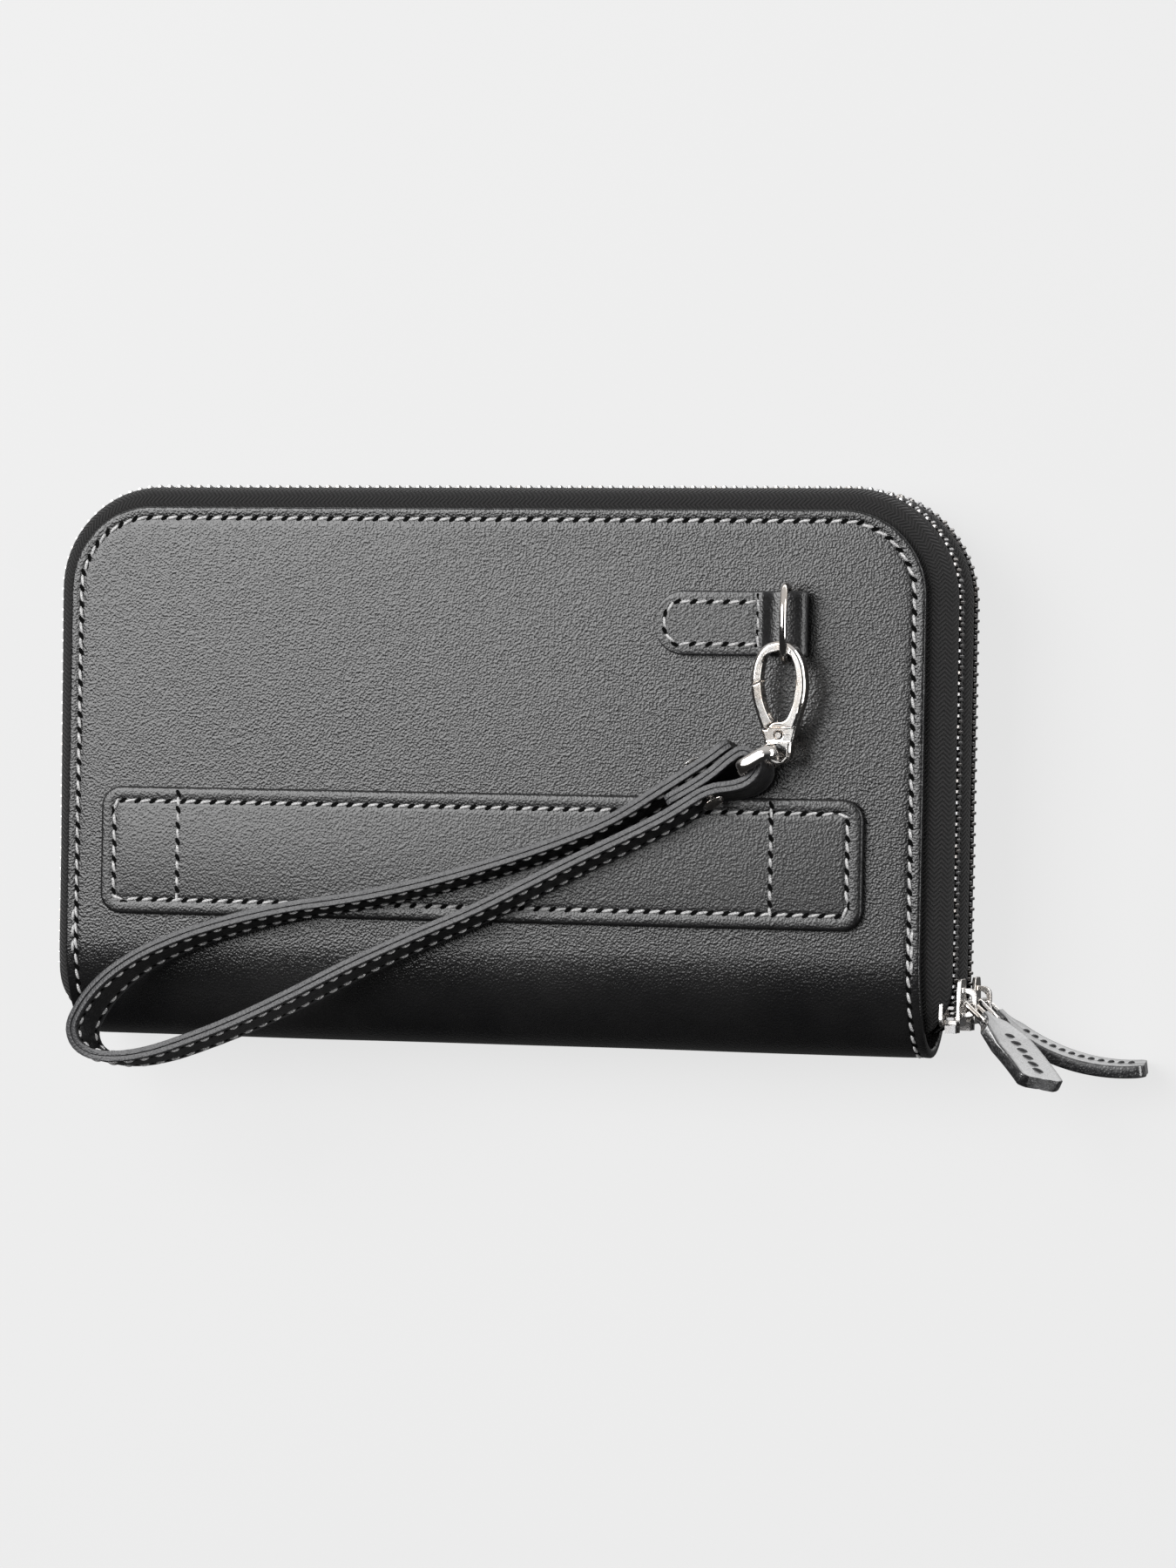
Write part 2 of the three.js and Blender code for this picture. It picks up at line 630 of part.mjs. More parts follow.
function gateSpring() {
  const profile = [v2(1.25, 0.65), v2(1.8, 0.65), v2(1.8, 1), v2(1.25, 1), v2(1.25, 0.65)];
  return new THREE.LatheGeometry(profile, 20).rotateX(Math.PI / 2).translate(0, HOOK.pinY, 0);
}

add("hook_body", onHook(hookBody()), "metal");
add("hook_gate", onHook(hookGate()), "metal");
add("gate_pin", onHook(disc(0, HOOK.pinY, 0.7, HOOK_Z0 + 0.2, HOOK_Z1 - 0.1)), "metal");
add("gate_spring", onHook(gateSpring()), "metal");

// Strap ring: flat wire, standing through the hook's eye and leaning with the strap

const RING = { leftX: 64.5, leftY: 2.3, half: 6.35, wire: 1.2, width: 2.4, leanX: -0.07, leanY: 0.11 };

function strapRing() {
  const reach = v2(HOOK.x - RING.leftX, HOOK.eyeY - RING.leftY);
  const length = reach.length();
  const edge = RING.wire / 2;
  const outer = roundedRect(-edge, length + edge, -RING.half - edge, RING.half + edge, 3.2);
  outer.holes.push(roundedRect(edge, length - edge, -RING.half + edge, RING.half - edge, 2.2));
  const ring = extrudeZ(outer, -RING.width / 2, RING.width / 2);
  const along = v3(reach.x, reach.y, 0).normalize();
  const up = v3(RING.leanX, RING.leanY, 1);
  const placed = new THREE.Matrix4().makeBasis(along, up, along.clone().cross(up).normalize());
  return ring.applyMatrix4(placed).translate(RING.leftX, RING.leftY, HOOK.z + 0.35);
}
add("strap_ring", strapRing(), "metal");

// Wrist strap. The route is the strap's upper edge: from its outer end down the upper run,
// round the wrist loop, back up the lower run, round the ring, to the end tucked between them.
const STRAP_ROUTE = [
  [61.6, 9.2], [56.4, 5.3], [52, 2.4], [45.4, -1.8], [34, -8.8], [21, -14.3],
  [4.5, -19.9], [-12.5, -24.8], [-29.5, -28.6], [-45, -31.2], [-59.5, -34.6],
  [-73, -39], [-84, -44.2], [-92, -50.2], [-97, -56.5], [-98.8, -61.2],
  [-97.4, -65], [-93.6, -67.2], [-87, -67.6], [-79.5, -66.3], [-71, -63.5],
  [-58.5, -58.5], [-44, -51.6], [-29.5, -44.2], [-14.5, -37.3], [0.5, -30.8],
  [13, -24.6], [25.5, -18.3], [38, -12.3], [46.6, -7.9], [51.8, -4.7], [55.2, -2.6],
  [58.6, -1.3], [62, -0.8], [65, 0], [67.4, 1.8], [68.4, 4.2], [67.4, 6.5], [65, 7.5],
  [62.1, 5.9], [58, 2.5], [53.6, -0.5], [46.8, -4.4],
];
const LEAN_RING = { x: 70, lean: v2(-1, 1.7) };
const LEAN_LOOP = { x: -100, lean: v2(-3, 1.6) };

// How far the strap's upper edge leans over its lower edge, at a place along X.
function strapLean(x) {
  const t = (x - LEAN_RING.x) / (LEAN_LOOP.x - LEAN_RING.x);
  return LEAN_RING.lean.clone().lerp(LEAN_LOOP.lean, t);
}

const strapCurve = new THREE.CatmullRomCurve3(
  STRAP_ROUTE.map(([x, y]) => {
    const lean = strapLean(x);
    return v3(x - lean.x, y - lean.y, STRAP_BASE);
  }),
  false,
  "centripetal",
);
const STRAP_STEPS = 3 * (STRAP_ROUTE.length - 1);

function strapPly(side) {
  const near = (side * GAP) / 2;
  const far = side * (GAP / 2 + STRAP_PLY);
  const edge = (offset) =>
    Array.from({ length: STRAP_STEPS + 1 }, (unused, i) => {
      const p = strapCurve.getPoint(i / STRAP_STEPS);
      const along = strapCurve.getTangent(i / STRAP_STEPS);
      return v2(p.x - along.y * offset, p.y + along.x * offset);
    });
  const outline = new THREE.Shape([...edge(near), ...edge(far).reverse()]);
  const ply = extrudeZ(outline, 0, STRAP_RISE);
  const position = ply.getAttribute("position");
  for (let i = 0; i < position.count; i++) {
    const share = position.getZ(i) / STRAP_RISE;
    const lean = strapLean(position.getX(i));
    position.setXY(i, position.getX(i) + share * lean.x, position.getY(i) + share * lean.y);
  }
  return ply.translate(0, 0, STRAP_BASE);
}

// Rivet through all three thicknesses, square to the strap's face.
const RIVET = { at: v3(54.6, -0.4, STRAP_BASE + STRAP_RISE / 2), shaft: 1.2, head: 2.9, reach: 5.4 };
const rivetLean = strapLean(RIVET.at.x);
const rivetAxis = v3(rivetLean.x, rivetLean.y, STRAP_RISE).cross(v3(0.835, 0.55, 0)).normalize();

function alongRivet(geometry) {
  const turn = new THREE.Quaternion().setFromUnitVectors(v3(0, 1, 0), rivetAxis);
  return geometry.applyQuaternion(turn).translate(RIVET.at.x, RIVET.at.y, RIVET.at.z);
}

function rivet() {
  const { shaft, head, reach } = RIVET;
  const profile = [
    v2(0, -reach - 0.9), v2(head * 0.7, -reach - 0.7), v2(head, -reach), v2(shaft, -reach),
    v2(shaft, reach), v2(head, reach), v2(head * 0.7, reach + 0.7), v2(0, reach + 0.9),
  ];
  return alongRivet(new THREE.LatheGeometry(profile, 20));
}

const rivetHole = () => alongRivet(new THREE.CylinderGeometry(1.5, 1.5, 12, 16));
add("strap_outer_ply", cut(strapPly(-1), rivetHole()), "leather");
add("strap_inner_ply", cut(strapPly(1), rivetHole()), "leather");
add("strap_rivet", rivet(), "metal");

export default wallet;
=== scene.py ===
"""The look of a leather wristlet wallet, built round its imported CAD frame.

Lengths are in millimetres until a mesh is made. The camera, the lights and the floor are in metres.
"""

import math

import bmesh
import bpy
from mathutils import Matrix, Vector


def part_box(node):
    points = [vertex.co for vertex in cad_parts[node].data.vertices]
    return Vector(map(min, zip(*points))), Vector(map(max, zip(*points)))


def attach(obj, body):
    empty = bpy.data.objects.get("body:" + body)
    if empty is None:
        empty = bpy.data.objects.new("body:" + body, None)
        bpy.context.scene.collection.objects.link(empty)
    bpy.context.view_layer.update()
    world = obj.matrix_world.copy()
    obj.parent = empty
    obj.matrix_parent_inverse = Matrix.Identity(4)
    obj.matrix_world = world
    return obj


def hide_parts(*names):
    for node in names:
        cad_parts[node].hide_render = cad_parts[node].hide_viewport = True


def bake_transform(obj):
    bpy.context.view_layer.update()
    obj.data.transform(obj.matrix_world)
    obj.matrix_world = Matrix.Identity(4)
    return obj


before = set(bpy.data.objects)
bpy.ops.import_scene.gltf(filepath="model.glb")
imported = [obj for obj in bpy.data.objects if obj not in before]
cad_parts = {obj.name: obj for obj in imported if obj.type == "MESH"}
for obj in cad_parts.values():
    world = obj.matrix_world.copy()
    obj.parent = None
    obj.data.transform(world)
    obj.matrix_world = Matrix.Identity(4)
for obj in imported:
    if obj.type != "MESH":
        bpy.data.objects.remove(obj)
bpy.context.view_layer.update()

MM = 0.001


def node_box(node):
    """Lowest and highest corner of a CAD node, in millimetres."""
    low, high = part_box(node)
    return Vector(low) / MM, Vector(high) / MM


# Main sizes: the first five come from the frame

cover_low, cover_high = node_box("cover_back")
HALF_X = cover_high.x
TOP_Y = cover_high.y
FOLD_Y = cover_low.y
THICKNESS = cover_high.z
MID_Z = THICKNESS / 2
CORNER = 20
LEATHER = 2.2
FOLD_DEPTH = 24
FOLD_START = FOLD_Y + FOLD_DEPTH


def rad(degrees):
    return math.radians(degrees)


def lerp(a, b, t):
    return a + (b - a) * t


# Camera and light


def aim(obj, place, target, roll=0.0):
    """Puts an object at a place and turns its -Z axis to a target."""
    back = (place - target).normalized()
    right = Vector((0, 1, 0)).cross(back).normalized()
    up = back.cross(right)
    turned_right = math.cos(roll) * right + math.sin(roll) * up
    turned_up = math.cos(roll) * up - math.sin(roll) * right
    turn = Matrix((turned_right, turned_up, back)).transposed()
    obj.matrix_world = Matrix.Translation(place) @ turn.to_4x4()


VIEW_TURN = rad(15.842)
VIEW_TILT = rad(-0.154)
VIEW_ROLL = rad(1.026)
VIEW_DISTANCE = 1.3254
VIEW_TARGET = Vector((0.0249, -0.00102, 0.033))

camera = bpy.data.objects.new("camera", bpy.data.cameras.new("camera"))
bpy.context.collection.objects.link(camera)
bpy.context.scene.camera = camera
camera.data.lens = 130
camera.data.sensor_width = 36
camera.data.sensor_fit = "AUTO"
camera.data.clip_start = 0.01
camera.data.dof.use_dof = False
view_back = Vector(
    (
        math.sin(VIEW_TURN) * math.cos(VIEW_TILT),
        -math.sin(VIEW_TILT),
        math.cos(VIEW_TURN) * math.cos(VIEW_TILT),
    )
)
aim(camera, VIEW_TARGET + VIEW_DISTANCE * view_back, VIEW_TARGET, VIEW_ROLL)


def soft_light(name, place, target, width, height, power):
    data = bpy.data.lights.new(name, "AREA")
    data.shape = "RECTANGLE"
    data.size = width
    data.size_y = height
    data.energy = power
    light = bpy.data.objects.new(name, data)
    bpy.context.collection.objects.link(light)
    light.visible_camera = False
    aim(light, Vector(place), Vector(target))


soft_light("key", (-0.5, 0.35, 0.95), (-0.02, 0.05, 0.02), 0.78, 0.8, 19.2)
soft_light("fill", (0.02, 0.1, 1.05), (0.07, 0.02, 0.04), 0.4, 0.5, 0.95)
soft_light("rim", (0.8, 0.15, 0.21), (0.1, -0.02, 0.02), 0.28, 0.9, 5)

# A studio sky that brightens towards the zip side.
world = bpy.data.worlds.new("studio")
bpy.context.scene.world = world
world.use_nodes = True
sky = world.node_tree.nodes
toward = sky.new("ShaderNodeTexCoord").outputs["Generated"]
split_sky = sky.new("ShaderNodeSeparateXYZ")
world.node_tree.links.new(toward, split_sky.inputs[0])


def sky_range(source, low, high, to_low, to_high):
    node = sky.new("ShaderNodeMapRange")
    node.interpolation_type = "SMOOTHSTEP"
    node.inputs["From Min"].default_value = low
    node.inputs["From Max"].default_value = high
    node.inputs["To Min"].default_value = to_low
    node.inputs["To Max"].default_value = to_high
    world.node_tree.links.new(source, node.inputs["Value"])
    return node.outputs["Result"]


zip_side_glow = sky_range(split_sky.outputs["Y"], 0.0, 0.8, 0.02, 0.55)
# The floor gives no reflections, so below the horizon the sky stands in for a pale table.
table_glow = sky_range(split_sky.outputs["Z"], -0.25, -0.5, 1, 4)
sky_level = sky.new("ShaderNodeMath")
sky_level.operation = "MULTIPLY"
world.node_tree.links.new(zip_side_glow, sky_level.inputs[0])
world.node_tree.links.new(table_glow, sky_level.inputs[1])
world.node_tree.links.new(sky_level.outputs[0], sky["Background"].inputs["Color"])


# Materials


class Recipe:
    """A procedural material under construction."""

    def __init__(self, name, roughness, metallic=0.0, specular=0.5):
        self.material = bpy.data.materials.new(name)
        self.material.use_nodes = True
        self.tree = self.material.node_tree
        self.shader = self.tree.nodes["Principled BSDF"]
        self.shader.inputs["Roughness"].default_value = roughness
        self.shader.inputs["Metallic"].default_value = metallic
        self.shader.inputs["Specular IOR Level"].default_value = specular
        self.place = self.tree.nodes.new("ShaderNodeTexCoord").outputs["Object"]

    def link(self, source, target):
        self.tree.links.new(source, target)

    def noise(self, scale, detail=2.0, roughness=0.5, stretch=None):
        node = self.tree.nodes.new("ShaderNodeTexNoise")
        node.inputs["Scale"].default_value = scale
        node.inputs["Detail"].default_value = detail
        node.inputs["Roughness"].default_value = roughness
        place = self.place
        if stretch:
            mapping = self.tree.nodes.new("ShaderNodeMapping")
            mapping.inputs["Scale"].default_value = stretch
            self.link(place, mapping.inputs["Vector"])
            place = mapping.outputs["Vector"]
        self.link(place, node.inputs["Vector"])
        return node.outputs["Fac"]

    def cells(self, scale):
        node = self.tree.nodes.new("ShaderNodeTexVoronoi")
        node.feature = "SMOOTH_F1"
        node.inputs["Scale"].default_value = scale
        node.inputs["Smoothness"].default_value = 0.7
        self.link(self.place, node.inputs["Vector"])
        return node.outputs["Distance"]

    def math(self, operation, first, second=None, clamp=False):
        node = self.tree.nodes.new("ShaderNodeMath")
        node.operation = operation
        node.use_clamp = clamp
        for slot, value in zip(node.inputs, (first, second)):
            if value is None:
                continue
            if isinstance(value, (int, float)):
                slot.default_value = value
            else:
                self.link(value, slot)
        return node.outputs[0]

    def spread(self, value, low, high, to_low=0.0, to_high=1.0):
        node = self.tree.nodes.new("ShaderNodeMapRange")
        self.link(value, node.inputs["Value"])
        node.inputs["From Min"].default_value = low
        node.inputs["From Max"].default_value = high
        node.inputs["To Min"].default_value = to_low
        node.inputs["To Max"].default_value = to_high
        return node.outputs["Result"]

    def blend(self, amount, first, second):
        node = self.tree.nodes.new("ShaderNodeMix")
        node.data_type = "RGBA"
        self.link(amount, node.inputs["Factor"])
        for slot, value in ((node.inputs["A"], first), (node.inputs["B"], second)):
            if isinstance(value, tuple):
                slot.default_value = (*value, 1)
            else:
                self.link(value, slot)
        return node.outputs["Result"]

    def attribute(self, name):
        node = self.tree.nodes.new("ShaderNodeAttribute")
        node.attribute_name = name
        return node.outputs["Fac"]

    def colour(self, value):
        self.link(value, self.shader.inputs["Base Color"])

    def roughness(self, value):
        self.link(value, self.shader.inputs["Roughness"])

    def bump(self, *layers):
        """Each layer is (height, strength, distance in millimetres)."""
        normal = None
        for height, strength, distance in layers:
            node = self.tree.nodes.new("ShaderNodeBump")
            node.inputs["Strength"].default_value = strength
            node.inputs["Distance"].default_value = distance * MM
            self.link(height, node.inputs["Height"])
            if normal:
                self.link(normal, node.inputs["Normal"])
            normal = node.outputs["Normal"]
        self.link(normal, self.shader.inputs["Normal"])


def leather(name, dark, light, roughness, grain=0.5, edge=None):
    """Smooth dyed leather: fine pebble grain, soft tone changes, paler and rougher where worn."""
    made = Recipe(name, roughness)
    tone = made.noise(28, 4, 0.6)
    fine = made.noise(900, 3, 0.6)
    pebble = made.cells(1950)
    pores = made.noise(2700, 2, 0.6)
    colour = made.blend(made.spread(tone, 0.35, 0.68), dark, light)
    worn = tuple(2.0 * channel + 0.01 for channel in light)
    wear = made.spread(made.math("MULTIPLY", fine, tone), 0.2, 0.6, 0, 0.12)
    colour = made.blend(wear, colour, worn)
    if edge:
        rim = made.attribute("rim")
        ragged = made.math("ADD", rim, made.spread(fine, 0.3, 0.7, -0.3, 0.3))
        colour = made.blend(made.math("MULTIPLY", ragged, 1, clamp=True), colour, edge)
    made.colour(colour)
    matt = made.math("ADD", tone, pores)
    made.roughness(made.spread(matt, 0.7, 1.3, roughness - 0.015, roughness + 0.03))
    creases = made.noise(45, 3, 0.5, (1, 1.5, 1))
    made.bump((creases, 0.02, 0.8), (pebble, grain * 1.25, 0.14), (pores, grain * 0.7, 0.08))
    return made.material


def nickel(name, tint, roughness):
    """Polished nickel plate with faint casting waves, fine wear and warmer patches."""
    made = Recipe(name, roughness, metallic=1.0)
    cloud = made.noise(160, 3, 0.5)
    warm = (tint[0], tint[1] * 0.93, tint[2] * 0.86)
    made.colour(made.blend(made.spread(cloud, 0.42, 0.66), tint, warm))
    wear = made.noise(1500, 4, 0.7)
    made.roughness(made.spread(wear, 0.35, 0.75, roughness - 0.04, roughness + 0.08))
    made.bump((cloud, 0.02, 0.2), (wear, 0.015, 0.02))
    return made.material


def thread(name, dark, light):
    """Waxed thread with a tight twist."""
    made = Recipe(name, 0.62)
    strand = made.noise(2600, 2, 0.5, (1, 1.6, 1))
    made.colour(made.blend(made.spread(strand, 0.32, 0.62), dark, light))
    made.bump((strand, 0.6, 0.12))
    return made.material


def woven(name, dark, light, across, pitch):
    """A herringbone weave laid out by the piece's own UV map, which is in metres."""
    made = Recipe(name, 0.8)
    split = made.tree.nodes.new("ShaderNodeSeparateXYZ")
    layout = made.tree.nodes.new("ShaderNodeTexCoord").outputs["UV"]
    made.link(layout, split.inputs[0])
    zigzag = made.math("PINGPONG", split.outputs["Y"], across * MM)
    slanted = made.math("ADD", split.outputs["X"], zigzag)
    phase = made.math("MULTIPLY", slanted, 2 * math.pi / (pitch * MM))
    rib = made.math("SINE", phase)
    yarn = made.noise(3200, 2, 0.6)
    height = made.math("ADD", rib, made.math("MULTIPLY", yarn, 1.2))
    made.colour(made.blend(made.spread(height, -0.6, 1.6), dark, light))
    made.shader.inputs["Specular IOR Level"].default_value = 0.3
    made.shader.inputs["Sheen Weight"].default_value = 0.1
    made.shader.inputs["Sheen Roughness"].default_value = 0.5
    made.bump((height, 0.8, 0.16))
    return made.material


def lining_cloth(name, dark, light):
    """Plain woven lining: two crossed sets of fine ribs."""
    made = Recipe(name, 0.75)
    split = made.tree.nodes.new("ShaderNodeSeparateXYZ")
    made.link(made.place, split.inputs[0])
    ribs = [
        made.math("SINE", made.math("MULTIPLY", split.outputs[axis], 2 * math.pi / (0.55 * MM)))
        for axis in ("X", "Y")
    ]
    weave = made.math("MULTIPLY", *ribs)
    slub = made.noise(420, 3, 0.6)
    made.colour(made.blend(made.spread(made.math("ADD", weave, slub), -0.6, 1.6), dark, light))
    made.shader.inputs["Sheen Weight"].default_value = 0.2
    made.bump((weave, 0.4, 0.08))
    return made.material


BLACK = (0.005, 0.005, 0.0054)
SOFT_BLACK = (0.01, 0.0098, 0.01)
EDGE_GREY = (0.034, 0.034, 0.036)
cover_leather = leather("cover_leather", BLACK, SOFT_BLACK, 0.265, 0.62)
strap_leather = leather("strap_leather", BLACK, SOFT_BLACK, 0.46, 0.6, edge=EDGE_GREY)
# The pull tags are black leather: their faces get a mid-grey colour as painted sheen, standing in for the
# broad highlight on their glossy faces, while their cut edges keep the leather's black.
CUT_EDGE = (0.012, 0.012, 0.013)
pull_leather = leather("pull_leather", (0.11, 0.11, 0.112), (0.23, 0.23, 0.232), 0.34, 0.9, edge=CUT_EDGE)
pull_shader = pull_leather.node_tree.nodes["Principled BSDF"]
pull_shader.inputs["Coat Weight"].default_value = 1
pull_shader.inputs["Coat Roughness"].default_value = 0.22
pull_shader.inputs["Coat IOR"].default_value = 1.8
tab_leather = leather("tab_leather", BLACK, SOFT_BLACK, 0.3, 0.5, edge=(0.02, 0.02, 0.021))
white_thread = thread("white_thread", (0.16, 0.16, 0.165), (0.56, 0.555, 0.55))
dark_thread = thread("dark_thread", (0.004, 0.004, 0.004), (0.03, 0.03, 0.032))
# The punched slits' pits are painted shade: they are near black and barely reflective, darker than the
# leather, and stand for the shade inside each hole.
slit_shade = leather("slit_shade", (0.001, 0.001, 0.001), (0.002, 0.002, 0.002), 0.8)
slit_shade.node_tree.nodes["Principled BSDF"].inputs["Specular IOR Level"].default_value = 0.05
bright_nickel = nickel("bright_nickel", (0.86, 0.84, 0.82), 0.11)
slider_nickel = nickel("slider_nickel", (0.78, 0.77, 0.76), 0.2)
# The teeth's nickel is set far darker than the sliders', as painted shade for teeth sunk between the tapes
# and covers; the right end stop takes it too.
shaded_tooth_nickel = nickel("shaded_tooth_nickel", (0.36, 0.36, 0.365), 0.28)
zip_tape = woven("zip_tape", (0.001, 0.001, 0.001), (0.014, 0.0132, 0.0135), 1.5, 1.1)
lining = lining_cloth("lining_cloth", (0.012, 0.012, 0.013), (0.05, 0.05, 0.053))


# Meshes


def add_piece(name, points, faces, material, body=None, smooth=50, rim=None, uvs=None):
    """A piece from points in millimetres. rim marks its cut edges, and uvs lay out its weave."""
    mesh = bpy.data.meshes.new(name)
    mesh.from_pydata([Vector(p) * MM for p in points], [], faces)
    if uvs:
        layer = mesh.uv_layers.new(name="layout")
        for loop in mesh.loops:
            layer.data[loop.index].uv = [value * MM for value in uvs[loop.vertex_index]]
    if rim:
        mesh.attributes.new("rim", "FLOAT", "POINT").data.foreach_set("value", rim)
    work = bmesh.new()
    work.from_mesh(mesh)
    bmesh.ops.remove_doubles(work, verts=work.verts, dist=1e-7)
    bmesh.ops.recalc_face_normals(work, faces=work.faces)
    work.to_mesh(mesh)
    work.free()
    mesh.shade_smooth()
    mesh.set_sharp_from_angle(angle=rad(smooth))
    mesh.materials.append(material)
    made = bpy.data.objects.new(name, mesh)
    bpy.context.collection.objects.link(made)
    if body:
        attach(made, body)
    return made


def ring_faces(rings, count, closed=False):
    """Quads between rings of points, with end caps unless the last ring joins the first."""
    faces = []
    for i in range(rings if closed else rings - 1):
        a = i * count
        b = ((i + 1) % rings) * count
        for j in range(count):
            k = (j + 1) % count
            faces.append((a + j, a + k, b + k, b + j))
    if not closed:
        faces.append(tuple(range(count)))
        faces.append(tuple(range((rings - 1) * count, rings * count)))
    return faces


class Heap:
    """Collects many small shapes into one mesh."""

    def __init__(self):
        self.points = []
        self.faces = []

    def add(self, points, faces):
        start = len(self.points)
        self.points += points
        self.faces += [tuple(start + i for i in face) for face in faces]


def recast(name, node, material, body, easing):
    """A CAD node's solid with its corners eased, as cast and polished metal has them."""
    source = bpy.data.objects.new(name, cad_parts[node].data.copy())
    bpy.context.collection.objects.link(source)
    work = bmesh.new()
    work.from_mesh(source.data)
    bmesh.ops.remove_doubles(work, verts=work.verts, dist=0.01 * MM)
    work.to_mesh(source.data)
    work.free()
    ease = source.modifiers.new("ease", "BEVEL")
    ease.width = easing * MM
    ease.segments = 4
    ease.limit_method = "ANGLE"
    ease.angle_limit = rad(35)
    ease.use_clamp_overlap = False
    ease.harden_normals = True
    bpy.context.view_layer.update()
    eased = source.evaluated_get(bpy.context.evaluated_depsgraph_get())
    shaped = bpy.data.meshes.new_from_object(eased)
    source.modifiers.clear()
    source.data = shaped
    shaped.materials.clear()
    shaped.materials.append(material)
    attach(source, body)
    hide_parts(node)


# Sewing


def walk(line, pitch, start=0.5):
    """Points a pitch apart along a flat line, each with the line's direction there."""
    lengths = [(q - p).length for p, q in zip(line, line[1:])]
    count = max(1, round(sum(lengths) / pitch))
    step = sum(lengths) / count
    found = []
    travelled = 0.0
    target = start * step
    for p, q, length in zip(line, line[1:], lengths):
        while length > 0 and target <= travelled + length + 1e-9 and len(found) < count:
            t = (target - travelled) / length
            found.append((p.lerp(q, t), (q - p).normalized()))
            target += step
        travelled += length
    return found


def arc(centre, radius, start, end, steps=10):
    return [
        Vector(
            (
                centre[0] + radius * math.cos(rad(lerp(start, end, i / steps))),
                centre[1] + radius * math.sin(rad(lerp(start, end, i / steps))),
            )
        )
        for i in range(steps + 1)
    ]


SLIT_TURN = 28
SLIT_SIDES = 10


def sew(name, line, place, body, pitch=3.8, length=3.0, width=0.7, slant=11, slits=True,
        material=None, blend=None, slit_size=(1.05, 0.5), lift=0.4):
    """Stitches along a flat line, with a punched slit between each pair.

    place(u, v, lift) puts a point of the line on the leather.
    """
    dashes = Heap()
    holes = Heap()
    rings = 9
    sides = 8

    def spot(at, direction, along, across, up):
        side = Vector((-direction.y, direction.x))
        return place(*(at + direction * along + side * across), up)

    for at, direction in walk(line, pitch):
        turned = Matrix.Rotation(rad(slant), 2) @ direction
        points = []
        for i in range(rings):
            t = 2 * i / (rings - 1) - 1
            thick = math.sqrt(max(0.03, 1 - abs(t) ** 3))
            rise = lift * (1 - t * t) - 0.12
            for j in range(sides):
                angle = 2 * math.pi * j / sides
                across = 0.5 * width * thick * math.cos(angle)
                up = rise + 0.3 * thick * math.sin(angle)
                points.append(spot(at, turned, t * length / 2, across, up))
        dashes.add(points, ring_faces(rings, sides))
        if slits:
            turned = Matrix.Rotation(rad(SLIT_TURN), 2) @ direction
            centre = at + direction * pitch / 2
            rim = []
            for j in range(SLIT_SIDES):
                angle = 2 * math.pi * j / SLIT_SIDES
                along = slit_size[0] * math.cos(angle)
                across = slit_size[1] * math.sin(angle)
                rim.append(spot(centre, turned, along, across, 0.1))
            pit = [spot(centre, turned, 0, 0, up) for up in (0.08, -0.4)]
            faces = [
                (j, (j + 1) % SLIT_SIDES, SLIT_SIDES + end)
                for end in (0, 1)
                for j in range(SLIT_SIDES)
            ]
            # Each slit's pit takes the painted-shade material.
            holes.add(rim + pit, faces)
    sewn = [add_piece(name, dashes.points, dashes.faces, material or white_thread)]
    if slits:
        sewn.append(add_piece(name + "_slits", holes.points, holes.faces, slit_shade))
    for piece in sewn:
        if blend:
            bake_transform(piece)
        else:
            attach(piece, body)


# Covers: one sheet each, with rounded edges and a sunk sewing line, running round the fold to meet at its
# middle

FOLD_STEPS = 60


def fold_table():
    """(arc length, centre angle) pairs down the quarter ellipse of the fold."""
    table = [(0.0, 90.0)]
    last = Vector((0, MID_Z))
    for i in range(1, FOLD_STEPS + 1):
        angle = 90 + 90 * i / FOLD_STEPS
        point = Vector((FOLD_DEPTH * math.cos(rad(angle)), MID_Z * math.sin(rad(angle))))
        table.append((table[-1][0] + (point - last).length, angle))
        last = point
    return table


FOLD_TABLE = fold_table()
FOLD_LENGTH = FOLD_TABLE[-1][0]
SEAM = FOLD_START - FOLD_LENGTH


def fold_angle(travel):
    travel = min(max(travel, 0), FOLD_LENGTH)
    for (s0, a0), (s1, a1) in zip(FOLD_TABLE, FOLD_TABLE[1:]):
        if travel <= s1:
            return lerp(a0, a1, (travel - s0) / (s1 - s0))
    return 180.0


def on_cover(x, s, lift, side=1):
    """A point of a cover: s is the way along the sheet, equal to y where the sheet is flat."""
    if s >= FOLD_START:
        point = Vector((x, s, THICKNESS + lift))
    else:
        angle = rad(fold_angle(FOLD_START - s))
        normal = Vector((math.cos(angle) / FOLD_DEPTH, math.sin(angle) / MID_Z)).normalized()
        y = FOLD_START + FOLD_DEPTH * math.cos(angle) + lift * normal.x
        point = Vector((x, y, MID_Z + MID_Z * math.sin(angle) + lift * normal.y))
    if side < 0:
        point.z = THICKNESS - point.z
    return point


SEW_INSET = 2.7


def rim_distance(x, s):
    """How far a point of the sheet is in from its sewn rim; the seam at the fold doesn't count."""
    over_x = abs(x) - (HALF_X - CORNER)
    over_y = s - (TOP_Y - CORNER)
    if over_x > 0 and over_y > 0:
        return CORNER - math.hypot(over_x, over_y)
    return min(HALF_X - abs(x), TOP_Y - s)


def cover_lift(x, s):
    """Soft unevenness of the outer face, with the line of stitches pulled in."""
    d = rim_distance(x, s)
    pulled = -0.2 * math.exp(-(((d - SEW_INSET) / 0.9) ** 2))
    soft = 0.08 * math.sin(x / 23 + 0.6) * math.cos(s / 19) + 0.025 * math.sin(x / 9 + s / 13)
    return pulled + soft * min(1, max(0, d - 4) / 8)


